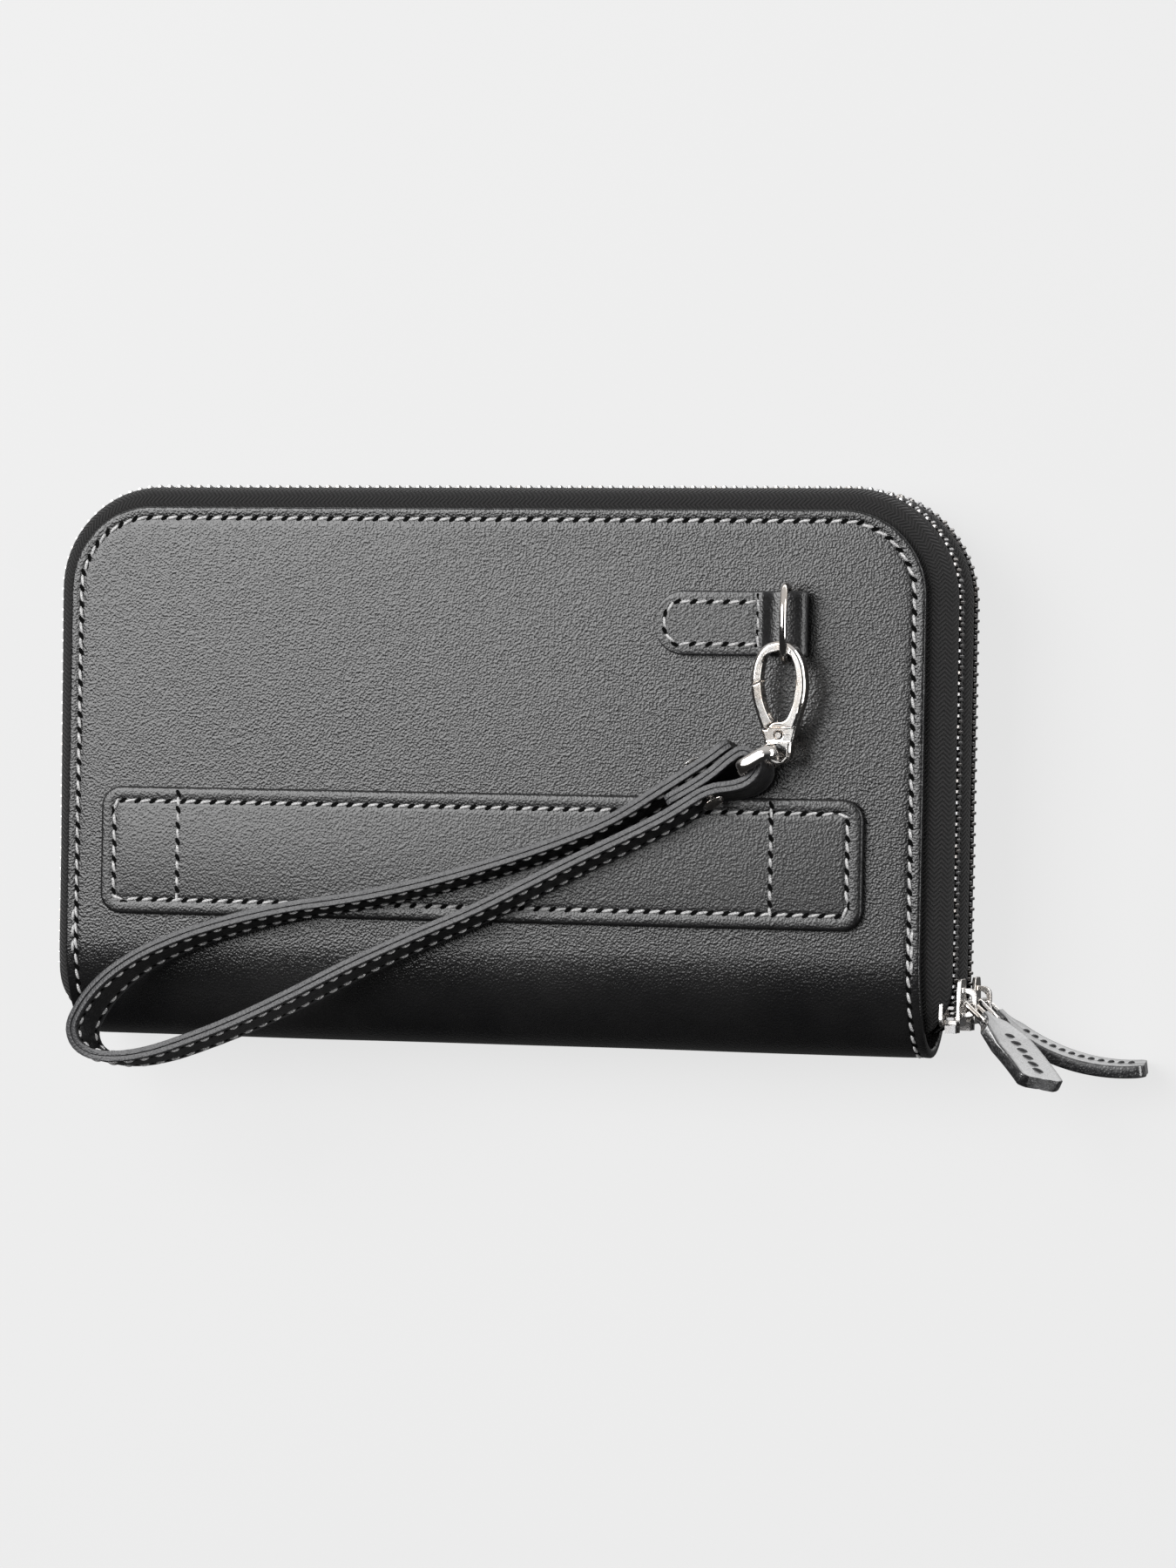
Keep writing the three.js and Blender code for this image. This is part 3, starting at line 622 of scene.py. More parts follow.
# A cover's grid: close lines near its sewn rim, and wider steps over the rest.
EDGE_STEPS = [0, 0.03, 0.12, 0.27, 0.48, 0.75, 1.1, 1.5, 1.9, 2.3, 2.7, 3.1, 3.5, 4.1, 5, 6.5, 9]
CORNER_ANGLES = (26, 19, 13, 6.5, 0)
FLAT_ROWS = 15
FOLD_ROWS = 26
MIDDLE_COLUMNS = 22
# 2 makes a cover's edge a half round, and higher powers make it squarer.
EDGE_SQUARE = 3.6


def edge_dip(d, half_thick):
    """How far the face has dropped at a distance in from a cover's rounded edge."""
    outward = 1 - d / half_thick
    return half_thick * (1 - max(0, 1 - outward**EDGE_SQUARE) ** (1 / EDGE_SQUARE))


def cover_piece(side):
    half_thick = LEATHER / 2
    rows = [TOP_Y - d for d in EDGE_STEPS]
    rows += [TOP_Y - CORNER + CORNER * math.sin(rad(a)) for a in CORNER_ANGLES]
    rows += [lerp(TOP_Y - CORNER, FOLD_START, i / FLAT_ROWS) for i in range(1, FLAT_ROWS + 1)]
    rows += [lerp(FOLD_START, SEAM, i / FOLD_ROWS) for i in range(1, FOLD_ROWS + 1)]
    inner = EDGE_STEPS[-1]
    shares = [i / MIDDLE_COLUMNS for i in range(1, MIDDLE_COLUMNS)]
    width = 2 * len(EDGE_STEPS) + len(shares)
    points = []

    def row_points(s, top):
        over = s - (TOP_Y - CORNER)
        reach = HALF_X - CORNER + math.sqrt(max(0, CORNER**2 - over**2)) if over > 0 else HALF_X
        xs = [-reach + d for d in EDGE_STEPS]
        xs += [lerp(-reach + inner, reach - inner, t) for t in shares]
        xs += [reach - d for d in reversed(EDGE_STEPS)]
        for x in xs:
            d = min(max(rim_distance(x, s), 0), half_thick)
            dip = edge_dip(d, half_thick)
            lift = cover_lift(x, s) if top else 0
            face = -dip + lift * min(1, d / half_thick) if top else -LEATHER + dip
            points.append(on_cover(x, s, face, side))

    for top in (True, False):
        for s in rows:
            row_points(s, top)
    faces = []
    layer = width * len(rows)
    for base in (0, layer):
        for i in range(len(rows) - 1):
            for j in range(width - 1):
                a = base + i * width + j
                faces.append((a, a + 1, a + width + 1, a + width))
    last = width * (len(rows) - 1)
    for a in range(last, last + width - 1):
        faces.append((a, a + 1, layer + a + 1, layer + a))
    name = "cover_back_leather" if side > 0 else "cover_front_leather"
    made = add_piece(name, points, faces, cover_leather)
    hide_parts("cover_back" if side > 0 else "cover_front")
    return made


FOLD_LINE = Vector((0, FOLD_Y, MID_Z)) * MM
BLEND_BACK = ("divider", "back_cover", tuple(FOLD_LINE), (0, (FOLD_Y + 3) * MM, (MID_Z + 9) * MM))
BLEND_FRONT = ("divider", "front_cover", tuple(FOLD_LINE), (0, (FOLD_Y + 3) * MM, (MID_Z - 9) * MM))
COVER_SIDES = ((1, BLEND_BACK), (-1, BLEND_FRONT))

for side, blend in COVER_SIDES:
    cover = cover_piece(side)
    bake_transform(cover)


def sewn_lift(x, s, lift, side=1):
    return on_cover(x, s, cover_lift(x, s) + lift, side)


edge_x = HALF_X - SEW_INSET
turn_x = HALF_X - CORNER
turn_y = TOP_Y - CORNER
perimeter = (
    [Vector((-edge_x, SEAM + 1.5))]
    + arc((-turn_x, turn_y), CORNER - SEW_INSET, 180, 90)
    + arc((turn_x, turn_y), CORNER - SEW_INSET, 90, 0)
    + [Vector((edge_x, SEAM + 1.5))]
)
for side, blend in COVER_SIDES:
    name = "cover_stitches_back" if side > 0 else "cover_stitches_front"
    sew(name, perimeter, lambda x, s, lift, side=side: sewn_lift(x, s, lift, side), None, blend=blend)
# The thread's ends are sewn over each other a little way up each side.
for name, x in (("right", edge_x + 0.75), ("left", -edge_x - 0.75)):
    over = [Vector((x, -44)), Vector((x, -33))]
    sew("overlap_stitches_" + name, over, sewn_lift, "back_cover", slits=False, slant=-4)


# Strips: straps, pulls and the ring's tab


def strip_section(half, thick, round_by, creases=()):
    """Outline of a strip's cross-section as (across, up) points, with sunk sewing lines."""
    edge = thick / 2
    r = min(round_by, edge)
    corner = [(math.cos(rad(a)), math.sin(rad(a))) for a in (0, 30, 60, 90)]
    right = [(half - r + r * c, edge - r + r * s) for c, s in corner]
    across = [0.78, 0.66, 0.54, 0.42, 0.3, 0.15, 0, -0.15, -0.3, -0.42, -0.54, -0.66, -0.78]
    top = []
    for w in across:
        sunk = sum(0.14 * math.exp(-(((w * half - c) / 0.55) ** 2)) for c in creases)
        top.append((w * half, edge - sunk))
    upper = right + top + [(-w, f) for w, f in reversed(right)]
    return upper + [(-w, -f) for w, f in upper]


def strip(name, stations, thick, material, body, round_by=0.5, creases=()):
    """A leather strip through stations of (centre, across, up, half width), with unit directions."""
    points = []
    rim = []
    for centre, across, up, half in stations:
        for w, f in strip_section(half, thick, round_by, creases):
            points.append(centre + across * w + up * f)
            rim.append(1.0 if abs(w) > half - round_by * 1.1 else 0.0)
    faces = ring_faces(len(stations), len(points) // len(stations))
    return add_piece(name, points, faces, material, body, rim=rim)


# Wrist strap

STRAP_ROUTE = [
    (61.6, 9.2), (56.4, 5.3), (52, 2.4), (45.4, -1.8), (34, -8.8), (21, -14.3),
    (4.5, -19.9), (-12.5, -24.8), (-29.5, -28.6), (-45, -31.2), (-59.5, -34.6),
    (-73, -39), (-84, -44.2), (-92, -50.2), (-97, -56.5), (-98.8, -61.2),
    (-97.4, -65), (-93.6, -67.2), (-87, -67.6), (-79.5, -66.3), (-71, -63.5),
    (-58.5, -58.5), (-44, -51.6), (-29.5, -44.2), (-14.5, -37.3), (0.5, -30.8),
    (13, -24.6), (25.5, -18.3), (38, -12.3), (46.6, -7.9), (51.8, -4.7), (55.2, -2.6),
    (58.6, -1.3), (62, -0.8), (65, 0), (67.4, 1.8), (68.4, 4.2), (67.4, 6.5), (65, 7.5),
    (62.1, 5.9), (58, 2.5), (53.6, -0.5), (46.8, -4.4),
]
LEAN_RING = (70, Vector((-1, 1.7)))
LEAN_LOOP = (-100, Vector((-3, 1.6)))
strap_low, strap_high = node_box("strap_outer_ply")
STRAP_BASE = strap_low.z
STRAP_RISE = strap_high.z - strap_low.z
STRAP_HALF_THICK = 1.25
# The spline's points to each span of the route, and the spans that its two plies are sewn along.
SPAN_STEPS = 8
SEWN_SPANS = 31


def strap_lean(x):
    """How far the strap's upper edge leans from its lower edge at a place along the wallet."""
    t = (x - LEAN_RING[0]) / (LEAN_LOOP[0] - LEAN_RING[0])
    return LEAN_RING[1].lerp(LEAN_LOOP[1], t)


def smooth_line(points, steps):
    """A centripetal spline through flat points, with `steps` points to each span."""
    spread = [2 * points[0] - points[1]] + points + [2 * points[-1] - points[-2]]
    line = []
    for p0, p1, p2, p3 in zip(spread, spread[1:], spread[2:], spread[3:]):
        gap = [max(1e-4, (b - a).length ** 0.5) for a, b in ((p0, p1), (p1, p2), (p2, p3))]
        m1 = ((p1 - p0) / gap[0] - (p2 - p0) / (gap[0] + gap[1]) + (p2 - p1) / gap[1]) * gap[1]
        m2 = ((p2 - p1) / gap[1] - (p3 - p1) / (gap[1] + gap[2]) + (p3 - p2) / gap[2]) * gap[1]
        for i in range(steps):
            t = i / steps
            line.append(
                (2 * t**3 - 3 * t**2 + 1) * p1
                + (t**3 - 2 * t**2 + t) * m1
                + (3 * t**2 - 2 * t**3) * p2
                + (t**3 - t**2) * m2
            )
    return line + [points[-1]]


strap_line = smooth_line([Vector(p) - strap_lean(p[0]) for p in STRAP_ROUTE], SPAN_STEPS)
strap_travel = [0.0]
for p, q in zip(strap_line, strap_line[1:]):
    strap_travel.append(strap_travel[-1] + (q - p).length)


def on_strap(travel, rise, offset):
    """A point of the wrist strap: along it, up its width, and out from its middle."""
    travel = min(max(travel, 0), strap_travel[-1])
    i = next(k for k in range(1, len(strap_travel)) if travel <= strap_travel[k] + 1e-9)
    t = (travel - strap_travel[i - 1]) / (strap_travel[i] - strap_travel[i - 1])
    at = strap_line[i - 1].lerp(strap_line[i], t)
    before = strap_line[max(0, i - 2)]
    after = strap_line[min(len(strap_line) - 1, i + 1)]
    along = (after - before).normalized()
    flat = at + Vector((-along.y, along.x)) * offset
    flat = flat + strap_lean(flat.x) * rise / STRAP_RISE
    return Vector((flat.x, flat.y, STRAP_BASE + rise))


def strap_ply(name, side, node):
    """One layer of the wrist strap, a little wavy along its edges."""
    near = side * 0.03
    far = side * STRAP_HALF_THICK
    stations = []
    steps = 300
    for i in range(steps + 1):
        travel = strap_travel[-1] * i / steps
        low = on_strap(travel, 0, (near + far) / 2)
        high = on_strap(travel, STRAP_RISE, (near + far) / 2)
        out = on_strap(travel, 0, far) - on_strap(travel, 0, near)
        across = (high - low).normalized()
        up = (out - out.dot(across) * across).normalized()
        wave = 0.12 * math.sin(travel / 5.1 + side) + 0.08 * math.sin(travel / 2.3)
        end = min(1, 0.9 + 0.1 * min(i, steps - i))
        half = ((high - low).length / 2 - 0.1 + 0.05 * wave) * end
        stations.append(((low + high) / 2, across, up, half))
    thick = abs(far - near)
    crease = (-0.32 * STRAP_RISE, 0.32 * STRAP_RISE)
    made = strip(name, stations, thick, strap_leather, "wrist_strap", 0.12, crease)
    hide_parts(node)


strap_ply("wrist_strap_outer_ply", -1, "strap_outer_ply")
strap_ply("wrist_strap_inner_ply", 1, "strap_inner_ply")

sewn_end = strap_travel[SPAN_STEPS * SEWN_SPANS]
for name, side in (("outer", -1), ("inner", 1)):
    for row, rise in (("low", 0.18 * STRAP_RISE), ("high", 0.82 * STRAP_RISE)):
        line = [Vector((3, rise)), Vector((sewn_end, rise))]
        sew(
            f"wrist_strap_stitches_{name}_{row}",
            line,
            lambda u, v, lift, side=side: on_strap(u, v, side * (STRAP_HALF_THICK - 0.1 + lift)),
            "wrist_strap",
            pitch=3.9,
            length=2.4,
            width=0.6,
            slant=side * 5,
            slit_size=(0.5, 0.24),
            lift=0.28,
        )


# Hand strap: two layers sewn round their rim, and crossed near both ends


def rounded_outline(x0, x1, y0, y1, corner):
    """Anticlockwise points of a rounded rectangle, starting on its lower side."""
    r = max(corner, 0.05)
    return (
        arc((x1 - r, y0 + r), r, -90, 0)
        + arc((x1 - r, y1 - r), r, 0, 90)
        + arc((x0 + r, y1 - r), r, 90, 180)
        + arc((x0 + r, y0 + r), r, 180, 270)
    )


def plate(name, sides, corner, profile, material, body):
    """A plate whose rim follows (inset, height) pairs from its underside to its top."""
    x0, x1, y0, y1 = sides
    points = []
    for inset, z in profile:
        for p in rounded_outline(x0 + inset, x1 - inset, y0 + inset, y1 - inset, corner - inset):
            points.append(Vector((p.x, p.y, z)))
    count = len(points) // len(profile)
    return add_piece(name, points, ring_faces(len(profile), count), material, body)


strap_box_low, strap_box_high = node_box("hand_strap")
under_low, _ = node_box("hand_strap_lining")
HAND = (strap_box_low.x, strap_box_high.x, strap_box_low.y, strap_box_high.y)
HAND_TOP = strap_box_high.z
HAND_CORNER = 5
hand_rim = [
    (2.0, under_low.z - 0.1),
    (0.5, under_low.z - 0.1),
    (0.12, under_low.z + 0.15),
    (0.0, under_low.z + 0.5),
    (0.12, under_low.z + 0.75),
    (0.16, under_low.z + 0.85),
    (0.06, under_low.z + 1.0),
    (0.0, HAND_TOP - 0.75),
    (0.08, HAND_TOP - 0.4),
    (0.3, HAND_TOP - 0.14),
    (0.7, HAND_TOP - 0.02),
    (1.3, HAND_TOP + 0.04),
    (2.0, HAND_TOP + 0.05),
    (2.7, HAND_TOP - 0.03),
    (3.5, HAND_TOP - 0.17),
    (4.3, HAND_TOP - 0.02),
    (4.9, HAND_TOP + 0.04),
]
hand = plate("hand_strap_leather", HAND, HAND_CORNER, hand_rim, tab_leather, "back_cover")
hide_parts("hand_strap", "hand_strap_lining")

HAND_INSET = 3.5


def on_hand_strap(x, y, lift):
    return Vector((x, y, HAND_TOP - 0.12 + lift))


hx0, hx1, hy0, hy1 = HAND
sew_frame = rounded_outline(hx0 + HAND_INSET, hx1 - HAND_INSET, hy0 + HAND_INSET, hy1 - HAND_INSET, 2)
sew_frame.append(sew_frame[0])
sew("hand_strap_stitches", sew_frame, on_hand_strap, "back_cover")
for name, x in (("left", -75.9), ("right", 69.8)):
    crossing = [Vector((x, hy0 + 2.2)), Vector((x, hy1 - 1.6))]
    sew(
        "hand_strap_cross_" + name,
        crossing,
        lambda x, y, lift: on_hand_strap(x, y, lift + 0.1),
        "back_cover",
        length=2.4,
        slant=8,
        lift=0.25,
    )


# Ring tab: a strip folded round the D-ring's bar, its ends sewn flat

TAB_PLY = 1.3
TAB_LOOP = 4.3
TAB_ROUND = 7
tab_low, tab_high = node_box("d_ring_tab")
tab_base = tab_low.z
loop_x = 73
loop_z = 36.1
tab_mid_y = (tab_low.y + tab_high.y) / 2
tab_half = (tab_high.y - tab_low.y) / 2


def tab_path():
    """The folded strip's middle line in (x, z), from its lower end round the loop to its upper end."""
    low = tab_base + TAB_PLY / 2
    top = low + TAB_PLY + 0.02
    rise = loop_z - low
    line = [Vector((lerp(tab_low.x, loop_x, i / 26), low)) for i in range(26)]
    for i in range(19):
        angle = rad(lerp(-90, 146, i / 18))
        line.append(Vector((loop_x + TAB_LOOP * math.cos(angle), loop_z + rise * math.sin(angle))))
    flat_x = loop_x - 9
    tail = [line[-1], Vector((loop_x - 5.4, top + 0.45)), Vector((loop_x - 7, top)), Vector((flat_x, top))]
    line += smooth_line(tail, 5)[1:]
    line += [Vector((lerp(flat_x, tab_low.x, i / 24), top)) for i in range(1, 25)]
    return line


def tab_half_width(x):
    over = tab_low.x + TAB_ROUND - x
    if over <= 0:
        return tab_half
    return tab_half - TAB_ROUND + math.sqrt(max(0.2, TAB_ROUND**2 - over**2))


tab_line = tab_path()
tab_stations = []
for i, p in enumerate(tab_line):
    before = tab_line[max(0, i - 1)]
    after = tab_line[min(len(tab_line) - 1, i + 1)]
    along = (after - before).normalized()
    up = Vector((along.y, 0, -along.x))
    tab_stations.append((Vector((p.x, tab_mid_y, p.y)), Vector((0, 1, 0)), up, tab_half_width(p.x)))
tab = strip("ring_tab_leather", tab_stations, TAB_PLY, tab_leather, "back_cover", 0.45)
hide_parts("d_ring_tab")

TAB_INSET = 2.6
tab_top = tab_base + 2 * TAB_PLY
tab_sew_end = 66.1
tab_turn = (tab_low.x + TAB_ROUND, tab_mid_y)
tab_u = (
    [Vector((tab_sew_end, tab_high.y - TAB_INSET))]
    + arc((tab_turn[0], tab_high.y - TAB_ROUND), TAB_ROUND - TAB_INSET, 90, 180, 8)
    + arc((tab_turn[0], tab_low.y + TAB_ROUND), TAB_ROUND - TAB_INSET, 180, 270, 8)
    + [Vector((tab_sew_end, tab_low.y + TAB_INSET))]
)


def on_tab(x, y, lift):
    return Vector((x, y, tab_top - 0.05 + lift))


sew("ring_tab_stitches", tab_u, on_tab, "back_cover")
closing = [Vector((tab_sew_end, tab_low.y + 1.2)), Vector((tab_sew_end, tab_high.y - 1.2))]
sew("ring_tab_closing_stitches", closing, on_tab, "back_cover", slant=7)


# Wire rings


def wire(name, line, across, half_in, half_across, material, body, node, sides=20, broad=None):
    """A closed loop of wire in one plane, with an oval section; broad(p) widens it at a point."""
    points = []
    count = len(line)
    for i, p in enumerate(line):
        along = (line[(i + 1) % count] - line[i - 1]).normalized()
        out = along.cross(across).normalized()
        wider = broad(p) if broad else 1
        for j in range(sides):
            angle = 2 * math.pi * j / sides
            reach = out * half_in * math.cos(angle) + across * half_across * math.sin(angle)
            points.append(p + reach * wider)
    made = add_piece(name, points, ring_faces(count, sides, closed=True), material, body)
    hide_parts(node)


def even_loop(outline, pitch):
    """The points of a closed flat outline, a pitch apart."""
    return [at for at, _ in walk(outline + [outline[0]], pitch)]


D_HALF = 8.7
D_RISE = 12
D_CORNER = 1.4
D_SIDE = 5.5
D_WIRE = 0.9
D_LEAN = rad(9)
d_outline = (
    arc((D_HALF - D_CORNER, D_CORNER), D_CORNER, -90, 0)
    + [
        Vector((D_HALF * math.cos(rad(a)), D_SIDE + (D_RISE - D_SIDE) * math.sin(rad(a))))
        for a in range(0, 181, 5)
    ]
    + arc((-D_HALF + D_CORNER, D_CORNER), D_CORNER, 180, 270)
)
d_up = Vector((math.sin(D_LEAN), 0, math.cos(D_LEAN)))
d_foot = Vector((loop_x, 36.8, loop_z))
d_line = [d_foot + Vector((0, p.x, 0)) + d_up * p.y for p in even_loop(d_outline, 0.6)]
d_across = Vector((math.cos(D_LEAN), 0, -math.sin(D_LEAN)))
wire("d_ring_wire", d_line, d_across, D_WIRE, D_WIRE, bright_nickel, "d_ring", "d_ring")

HOOK_X = 72.8
HOOK_EYE_Y = 7.2
HOOK_Z = 40
RING_HALF = 6.35
RING_THICK = 1.2
RING_WIDE = 2.4
ring_left = Vector((64.5, 2.3))
ring_reach = Vector((HOOK_X, HOOK_EYE_Y)) - ring_left
ring_along = Vector((ring_reach.x, ring_reach.y, 0)).normalized()
ring_up = Vector((-0.07, 0.11, 1))
ring_foot = Vector((ring_left.x, ring_left.y, HOOK_Z + 0.35))
ring_flat = rounded_outline(0, ring_reach.length, -RING_HALF, RING_HALF, 2.7)
ring_line = [ring_foot + ring_along * p.x + ring_up * p.y for p in even_loop(ring_flat, 0.5)]
ring_across = ring_along.cross(ring_up).normalized()


def broad_top(p):
    """The strap ring is broader along its top."""
    return lerp(1, 1.4, min(1, max(0, (p.z - ring_foot.z - 2.5) / 2.5)))


wire(
    "strap_ring_wire",
    ring_line,
    ring_across,
    RING_THICK / 2,
    RING_WIDE / 2,
    bright_nickel,
    "wrist_strap",
    "strap_ring",
    broad=broad_top,
)


# Hook, gate, rivet and sliders: cast metal with eased corners

recast("hook_casting", "hook_body", bright_nickel, "hook", 0.3)
recast("gate_casting", "hook_gate", bright_nickel, "gate", 0.25)
recast("strap_rivet_head", "strap_rivet", bright_nickel, "wrist_strap", 0.3)
recast("slider_casting_upper", "slider_upper", slider_nickel, "slider_upper", 0.22)
recast("slider_casting_lower", "slider_lower", slider_nickel, "slider_lower", 0.22)


# Zip: woven tapes and single teeth round three sides

# How far the zips bulge past the covers, in order from the right side round the top to the left side.
RIGHT_BULGE = 6.2
TOP_BULGE = 5
TURN_BULGE = 4.6
SIDE_BULGE = 3.8
LEFT_BULGE = 3.2
CHAIN_OFFSET = 8.2
TAPE_END = -47.5
TAPE_TAIL = 10
TAPE_THICK = 0.5
TAPE_HEM = 8
INNER_HEM = 1.15
TEETH_END = -55
TEETH_HALF = 2.3
TEETH_GAP = 0.6
TEETH_THICK = 1.7
SIDE_STEPS = 40
TURN_STEPS = 16


def rim_stations(end_y):
    """(place, outward direction, bulge) round the rim, from lower right round the top to lower left."""
    sides = [lerp(end_y, turn_y, i / SIDE_STEPS) for i in range(SIDE_STEPS + 1)]
    stations = [(Vector((HALF_X, y)), Vector((1, 0)), RIGHT_BULGE) for y in sides]

    def turn(side, start, bulge_from, bulge_to):
        for i in range(1, TURN_STEPS + 1):
            angle = rad(start + 90 * i / TURN_STEPS)
            out = Vector((math.cos(angle), math.sin(angle)))
            at = Vector((side * turn_x, turn_y)) + out * CORNER
            stations.append((at, out, lerp(bulge_from, bulge_to, i / TURN_STEPS)))

    turn(1, 0, RIGHT_BULGE, TOP_BULGE)
    for i in range(1, SIDE_STEPS + 1):
        t = i / SIDE_STEPS
        at = Vector((lerp(turn_x, -turn_x, t), TOP_Y))
        stations.append((at, Vector((0, 1)), lerp(TOP_BULGE, TURN_BULGE, t)))
    turn(-1, 90, TURN_BULGE, SIDE_BULGE)
    for y in reversed(sides[:-1]):
        bulge = lerp(LEFT_BULGE, SIDE_BULGE, max(0, min(1, (y + 20) / 60)))
        stations.append((Vector((-HALF_X, y)), Vector((-1, 0)), bulge))
    return stations


def inner_height(y):
    """Height of a cover's inner face over the middle plane."""
    down = min(0, y - FOLD_START) / (FOLD_DEPTH - LEATHER)
    return (MID_Z - LEATHER) * math.sqrt(1 - down * down)


def tape_tail(side):
    """Stations where a tape's end tucks into the fold."""
    bulge = RIGHT_BULGE if side > 0 else LEFT_BULGE
    tail = []
    for i in range(1, 9):
        t = i / 8
        at = Vector((side * (HALF_X - 0.8 * t), TAPE_END - TAPE_TAIL * t))
        tail.append((at, Vector((side, 0)), bulge * (1 - 0.8 * t * t)))
    return tail


# A tape's section from its sewn hem to its teeth, as (share of the bulge, share of the height) points.
# A negative share is in millimetres, inwards.
TAPE_SECTION = [(-TAPE_HEM, 0), (0, 0), (0.6, 0.14), (0.88, 0.42), (1, 0.75), (1, 1)]


# Each row of the zips: its name, its body, whether it is on a cover, and whether it is in the lower zip.
ZIP_ROWS = (
    ("back", "back_cover", True, False),
    ("divider_upper", "divider", False, False),
    ("divider_lower", "divider", False, True),
    ("front", "front_cover", True, True),
)


def tape_piece(row, body, outer, flip):
    """One tape round three sides, with the weave's layout in its UV map."""
    if outer:
        teeth_edge = CHAIN_OFFSET + TEETH_HALF - 0.5
    else:
        teeth_edge = CHAIN_OFFSET - TEETH_HALF + 0.5
    stations = list(reversed(tape_tail(1))) + rim_stations(TAPE_END) + tape_tail(-1)
    points = []
    uvs = []
    travel = 0.0
    last = None
    for at, out, bulge in stations:
        hem = inner_height(at.y) - 0.5
        if not outer:
            hem = min(INNER_HEM, hem)
        edge = lerp(teeth_edge, hem, min(1, max(0, (TAPE_END - at.y) / TAPE_TAIL)))
        line = [Vector((s if s <= 0 else s * bulge, lerp(hem, edge, t))) for s, t in TAPE_SECTION]
        line = smooth_line(line, 4)
        crest = at + out * bulge
        if last is not None:
            travel += (crest - last).length
        last = crest
        sides = []
        across = 0.0
        for i, p in enumerate(line):
            before = line[max(0, i - 1)]
            after = line[min(len(line) - 1, i + 1)]
            normal = Vector((before.y - after.y, after.x - before.x)).normalized() * TAPE_THICK / 2
            across += (p - before).length
            sides.append((p + normal, p - normal, across))
        ring = [(a, w) for a, _, w in sides] + [(b, w) for _, b, w in reversed(sides)]
        for (s, h), w in ring:
            flat = at + out * s
            points.append(Vector((flat.x, flat.y, MID_Z + (-h if flip else h))))
            uvs.append((travel, w))
    faces = ring_faces(len(stations), len(points) // len(stations))
    made = add_piece("zip_tape_" + row, points, faces, zip_tape, body, 40, uvs=uvs)
    # The tape's tucked left end covers its row's end stop.
    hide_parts("tape_" + row, "stop_left_" + row)


for row, body, outer, flip in ZIP_ROWS:
    tape_piece(row, body, outer, flip)

TOOTH_PITCH = 2.5
TOOTH_LONG = 0.85
# (share of the height, of the length, of the thickness): legs on the tape, a waist, then a rounded nose.
TOOTH_PROFILE = [
    (0.0, 0.8, 0.9),
    (0.12, 1.0, 1.0),
    (0.5, 1.0, 1.0),
    (0.62, 0.8, 0.74),
    (0.85, 0.84, 0.78),
    (1.0, 0.5, 0.5),
]
TOOTH_SECTION = [(1, 0.6), (0.6, 1), (-0.6, 1), (-1, 0.6), (-1, -0.6), (-0.6, -1), (0.6, -1), (1, -0.6)]


def tooth_shape(h0, h1, nose_up):
    """Rings of one tooth in (along, out, height)."""
    rings = []
    for share, long, deep in TOOTH_PROFILE:
        h = lerp(h0, h1, share) if nose_up else lerp(h1, h0, share)
        a = TOOTH_LONG / 2 * long
        b = TEETH_THICK / 2 * deep
        rings.append([(a * x, b * y, h) for x, y in TOOTH_SECTION])
    return rings


def teeth_piece(row, body, outer, flip):
    """One row of teeth. The outer rows' noses point to the middle plane, and the inner rows' away."""
    reach = TEETH_HALF + TEETH_GAP
    h0 = CHAIN_OFFSET - TEETH_GAP if outer else CHAIN_OFFSET - TEETH_HALF
    h1 = h0 + reach
    rings = tooth_shape(h0, h1, nose_up=not outer)
    stations = rim_stations(TEETH_END)
    line = [at + out * bulge for at, out, bulge in stations]
    chain = Heap()
    for at, along in walk(line, TOOTH_PITCH, 0.5 if outer else 1.0):
        # The tape's tucked left end covers the last teeth there.
        if at.x < 0 and at.y < TAPE_END:
            continue
        out = Vector((along.y, -along.x))
        points = []
        for ring in rings:
            for a, s, h in ring:
                flat = at + along * a + out * s
                points.append(Vector((flat.x, flat.y, MID_Z + (-h if flip else h))))
        chain.add(points, ring_faces(len(rings), len(TOOTH_SECTION)))
    made = add_piece("zip_teeth_" + row, chain.points, chain.faces, shaded_tooth_nickel, body, 35)
    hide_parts("teeth_" + row)


for row, body, outer, flip in ZIP_ROWS:
    teeth_piece(row, body, outer, flip)


# Pulls: a wire link and a stitched leather tag on each slider

PULL_WIDTH = 11.5
PULL_THICK = 3.0
PULL_START = 4.4
PULL_LOOP = 4.8
LINK_REACH = 6
LINK_HALF = 4.1
LINK_CORNER = 1.5
LINK_WIRE = 0.65
HINGE_X = 114.9
HINGE_Y = -50
# way is the direction a pull sets out in, bend how far it turns from that, roll the final slope of its
# width, and droop how steeply its tip falls; a negative droop rises.
PULLS = {
    "upper": dict(way=-41.5, bend=-2.5, roll=67, droop=-0.95, length=24.5),
    "lower": dict(way=-43, bend=50, roll=85, droop=0.1, length=38.5),
}

def pull_frames(shape, steps):
    """(centre, across, face) at even steps along a pull."""
    place = Vector((math.cos(rad(shape["way"])), math.sin(rad(shape["way"])), 0)) * PULL_START
    frames = []
    for i in range(steps + 1):
        t = i / steps
        angle = rad(shape["way"] + shape["bend"] * t)
        along = Vector((math.cos(angle), math.sin(angle), -shape["droop"] * t)).normalized()
        flat = Vector((0, 0, 1)).cross(along).normalized()
        turn = rad(90 - (90 - shape["roll"]) * min(1, 2.5 * t))
        across = -flat * math.cos(turn) + along.cross(flat) * math.sin(turn)
        face = along.cross(across).normalized()
        frames.append((place.copy(), across, face))
        place = place + along * shape["length"] / steps
    return frames


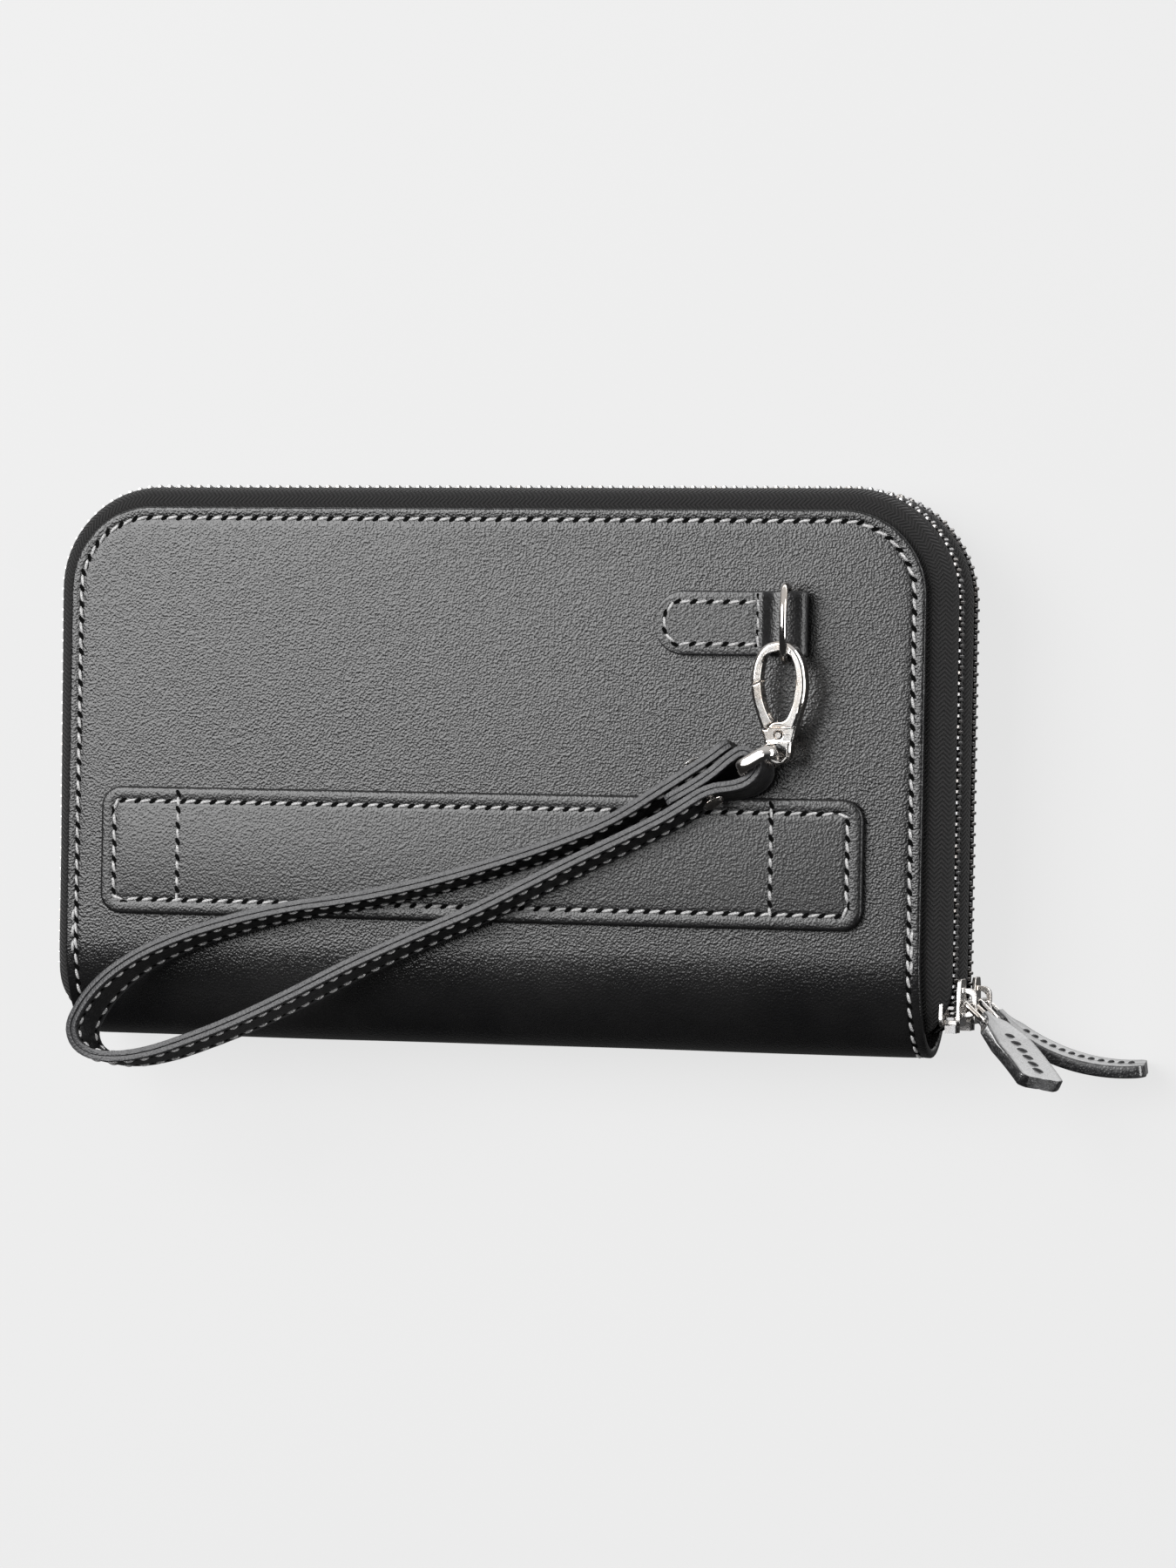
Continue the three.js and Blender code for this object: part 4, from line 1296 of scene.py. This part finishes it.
def pull(name, shape, z):
    origin = Vector((HINGE_X, HINGE_Y, z))
    steps = 60
    frames = pull_frames(shape, steps)
    stations = []
    for i, (at, across, face) in enumerate(frames):
        t = i / steps
        grow = min(1, max(0, (t - 0.05) / 0.12))
        half = lerp(PULL_LOOP, PULL_WIDTH, grow * grow * (3 - 2 * grow)) / 2
        tip = max(0, (t - 0.955) / 0.045)
        half *= 1 - 0.28 * tip**2
        stations.append((origin + at, across, face, half))
    body = "pull_" + name
    tag = strip(f"pull_tag_{name}", stations, PULL_THICK, pull_leather, body, 0.5, (0,))
    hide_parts("pull_leather_" + name)

    def on_pull(u, v, lift, sign):
        t = min(max(u / shape["length"], 0), 1) * steps
        i = min(int(t), steps - 1)
        p, across, face = frames[i]
        at = p.lerp(frames[i + 1][0], t - i)
        return origin + at + across * v + face * (sign * (PULL_THICK / 2 - 0.12 + lift))

    line = [Vector((7, 0)), Vector((shape["length"] - 2.2, 0))]
    for side, sign in (("top", 1), ("under", -1)):
        sew(
            f"pull_stitches_{name}_{side}",
            line,
            lambda u, v, lift, sign=sign: on_pull(u, v, lift, sign),
            body,
            pitch=2.5,
            length=3.3,
            width=0.65,
            slant=62 * sign,
            slits=False,
            material=dark_thread,
        )
    along = Vector((math.cos(rad(shape["way"])), math.sin(rad(shape["way"])), 0))
    link = rounded_outline(0, LINK_REACH, -LINK_HALF, LINK_HALF, LINK_CORNER)
    line = [origin + along * p.x + Vector((0, 0, p.y)) for p in even_loop(link, 0.45)]
    across = along.cross(Vector((0, 0, 1)))
    node = "pull_ring_" + name
    wire(f"pull_link_{name}", line, across, LINK_WIRE, LINK_WIRE, slider_nickel, body, node, 14)


for name, shape in PULLS.items():
    low, high = node_box("slider_" + name)
    pull(name, shape, (low.z + high.z) / 2)


# CAD nodes that show as they are get their materials, and eased edges

NODE_LOOKS = {
    "lining_": lining,
    "divider_panel": lining,
    "card_pocket_": lining,
    "coin_pocket": lining,
    "bill_pocket": lining,
    "stop_right": shaded_tooth_nickel,
    "gate_pin": bright_nickel,
    "gate_spring": slider_nickel,
}
for node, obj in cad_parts.items():
    for start, material in NODE_LOOKS.items():
        if node.startswith(start):
            obj.data.materials.clear()
            obj.data.materials.append(material)
            ease = obj.modifiers.new("ease", "BEVEL")
            ease.width = 0.15 * MM
            ease.segments = 2
            ease.limit_method = "ANGLE"

# Floor

FLOOR_REACH = 6
floor_mesh = bpy.data.meshes.new("floor")
floor_corners = [(x * FLOOR_REACH, y * FLOOR_REACH, 0) for x, y in ((-1, -1), (1, -1), (1, 1), (-1, 1))]
floor_mesh.from_pydata(floor_corners, [], [(0, 1, 2, 3)])
floor = bpy.data.objects.new("floor", floor_mesh)
bpy.context.collection.objects.link(floor)
pale = Recipe("pale_floor", 0.9, specular=0.1)
cloud = pale.spread(pale.noise(3, 2), 0.3, 0.7)
pale.colour(pale.blend(cloud, (0.07, 0.07, 0.07), (0.075, 0.075, 0.075)))
pale.shader.inputs["Emission Color"].default_value = (1, 1, 1, 1)
pale.shader.inputs["Emission Strength"].default_value = 0.74
floor.visible_glossy = False
floor_mesh.materials.append(pale.material)

bpy.context.scene.view_settings.view_transform = "Standard"
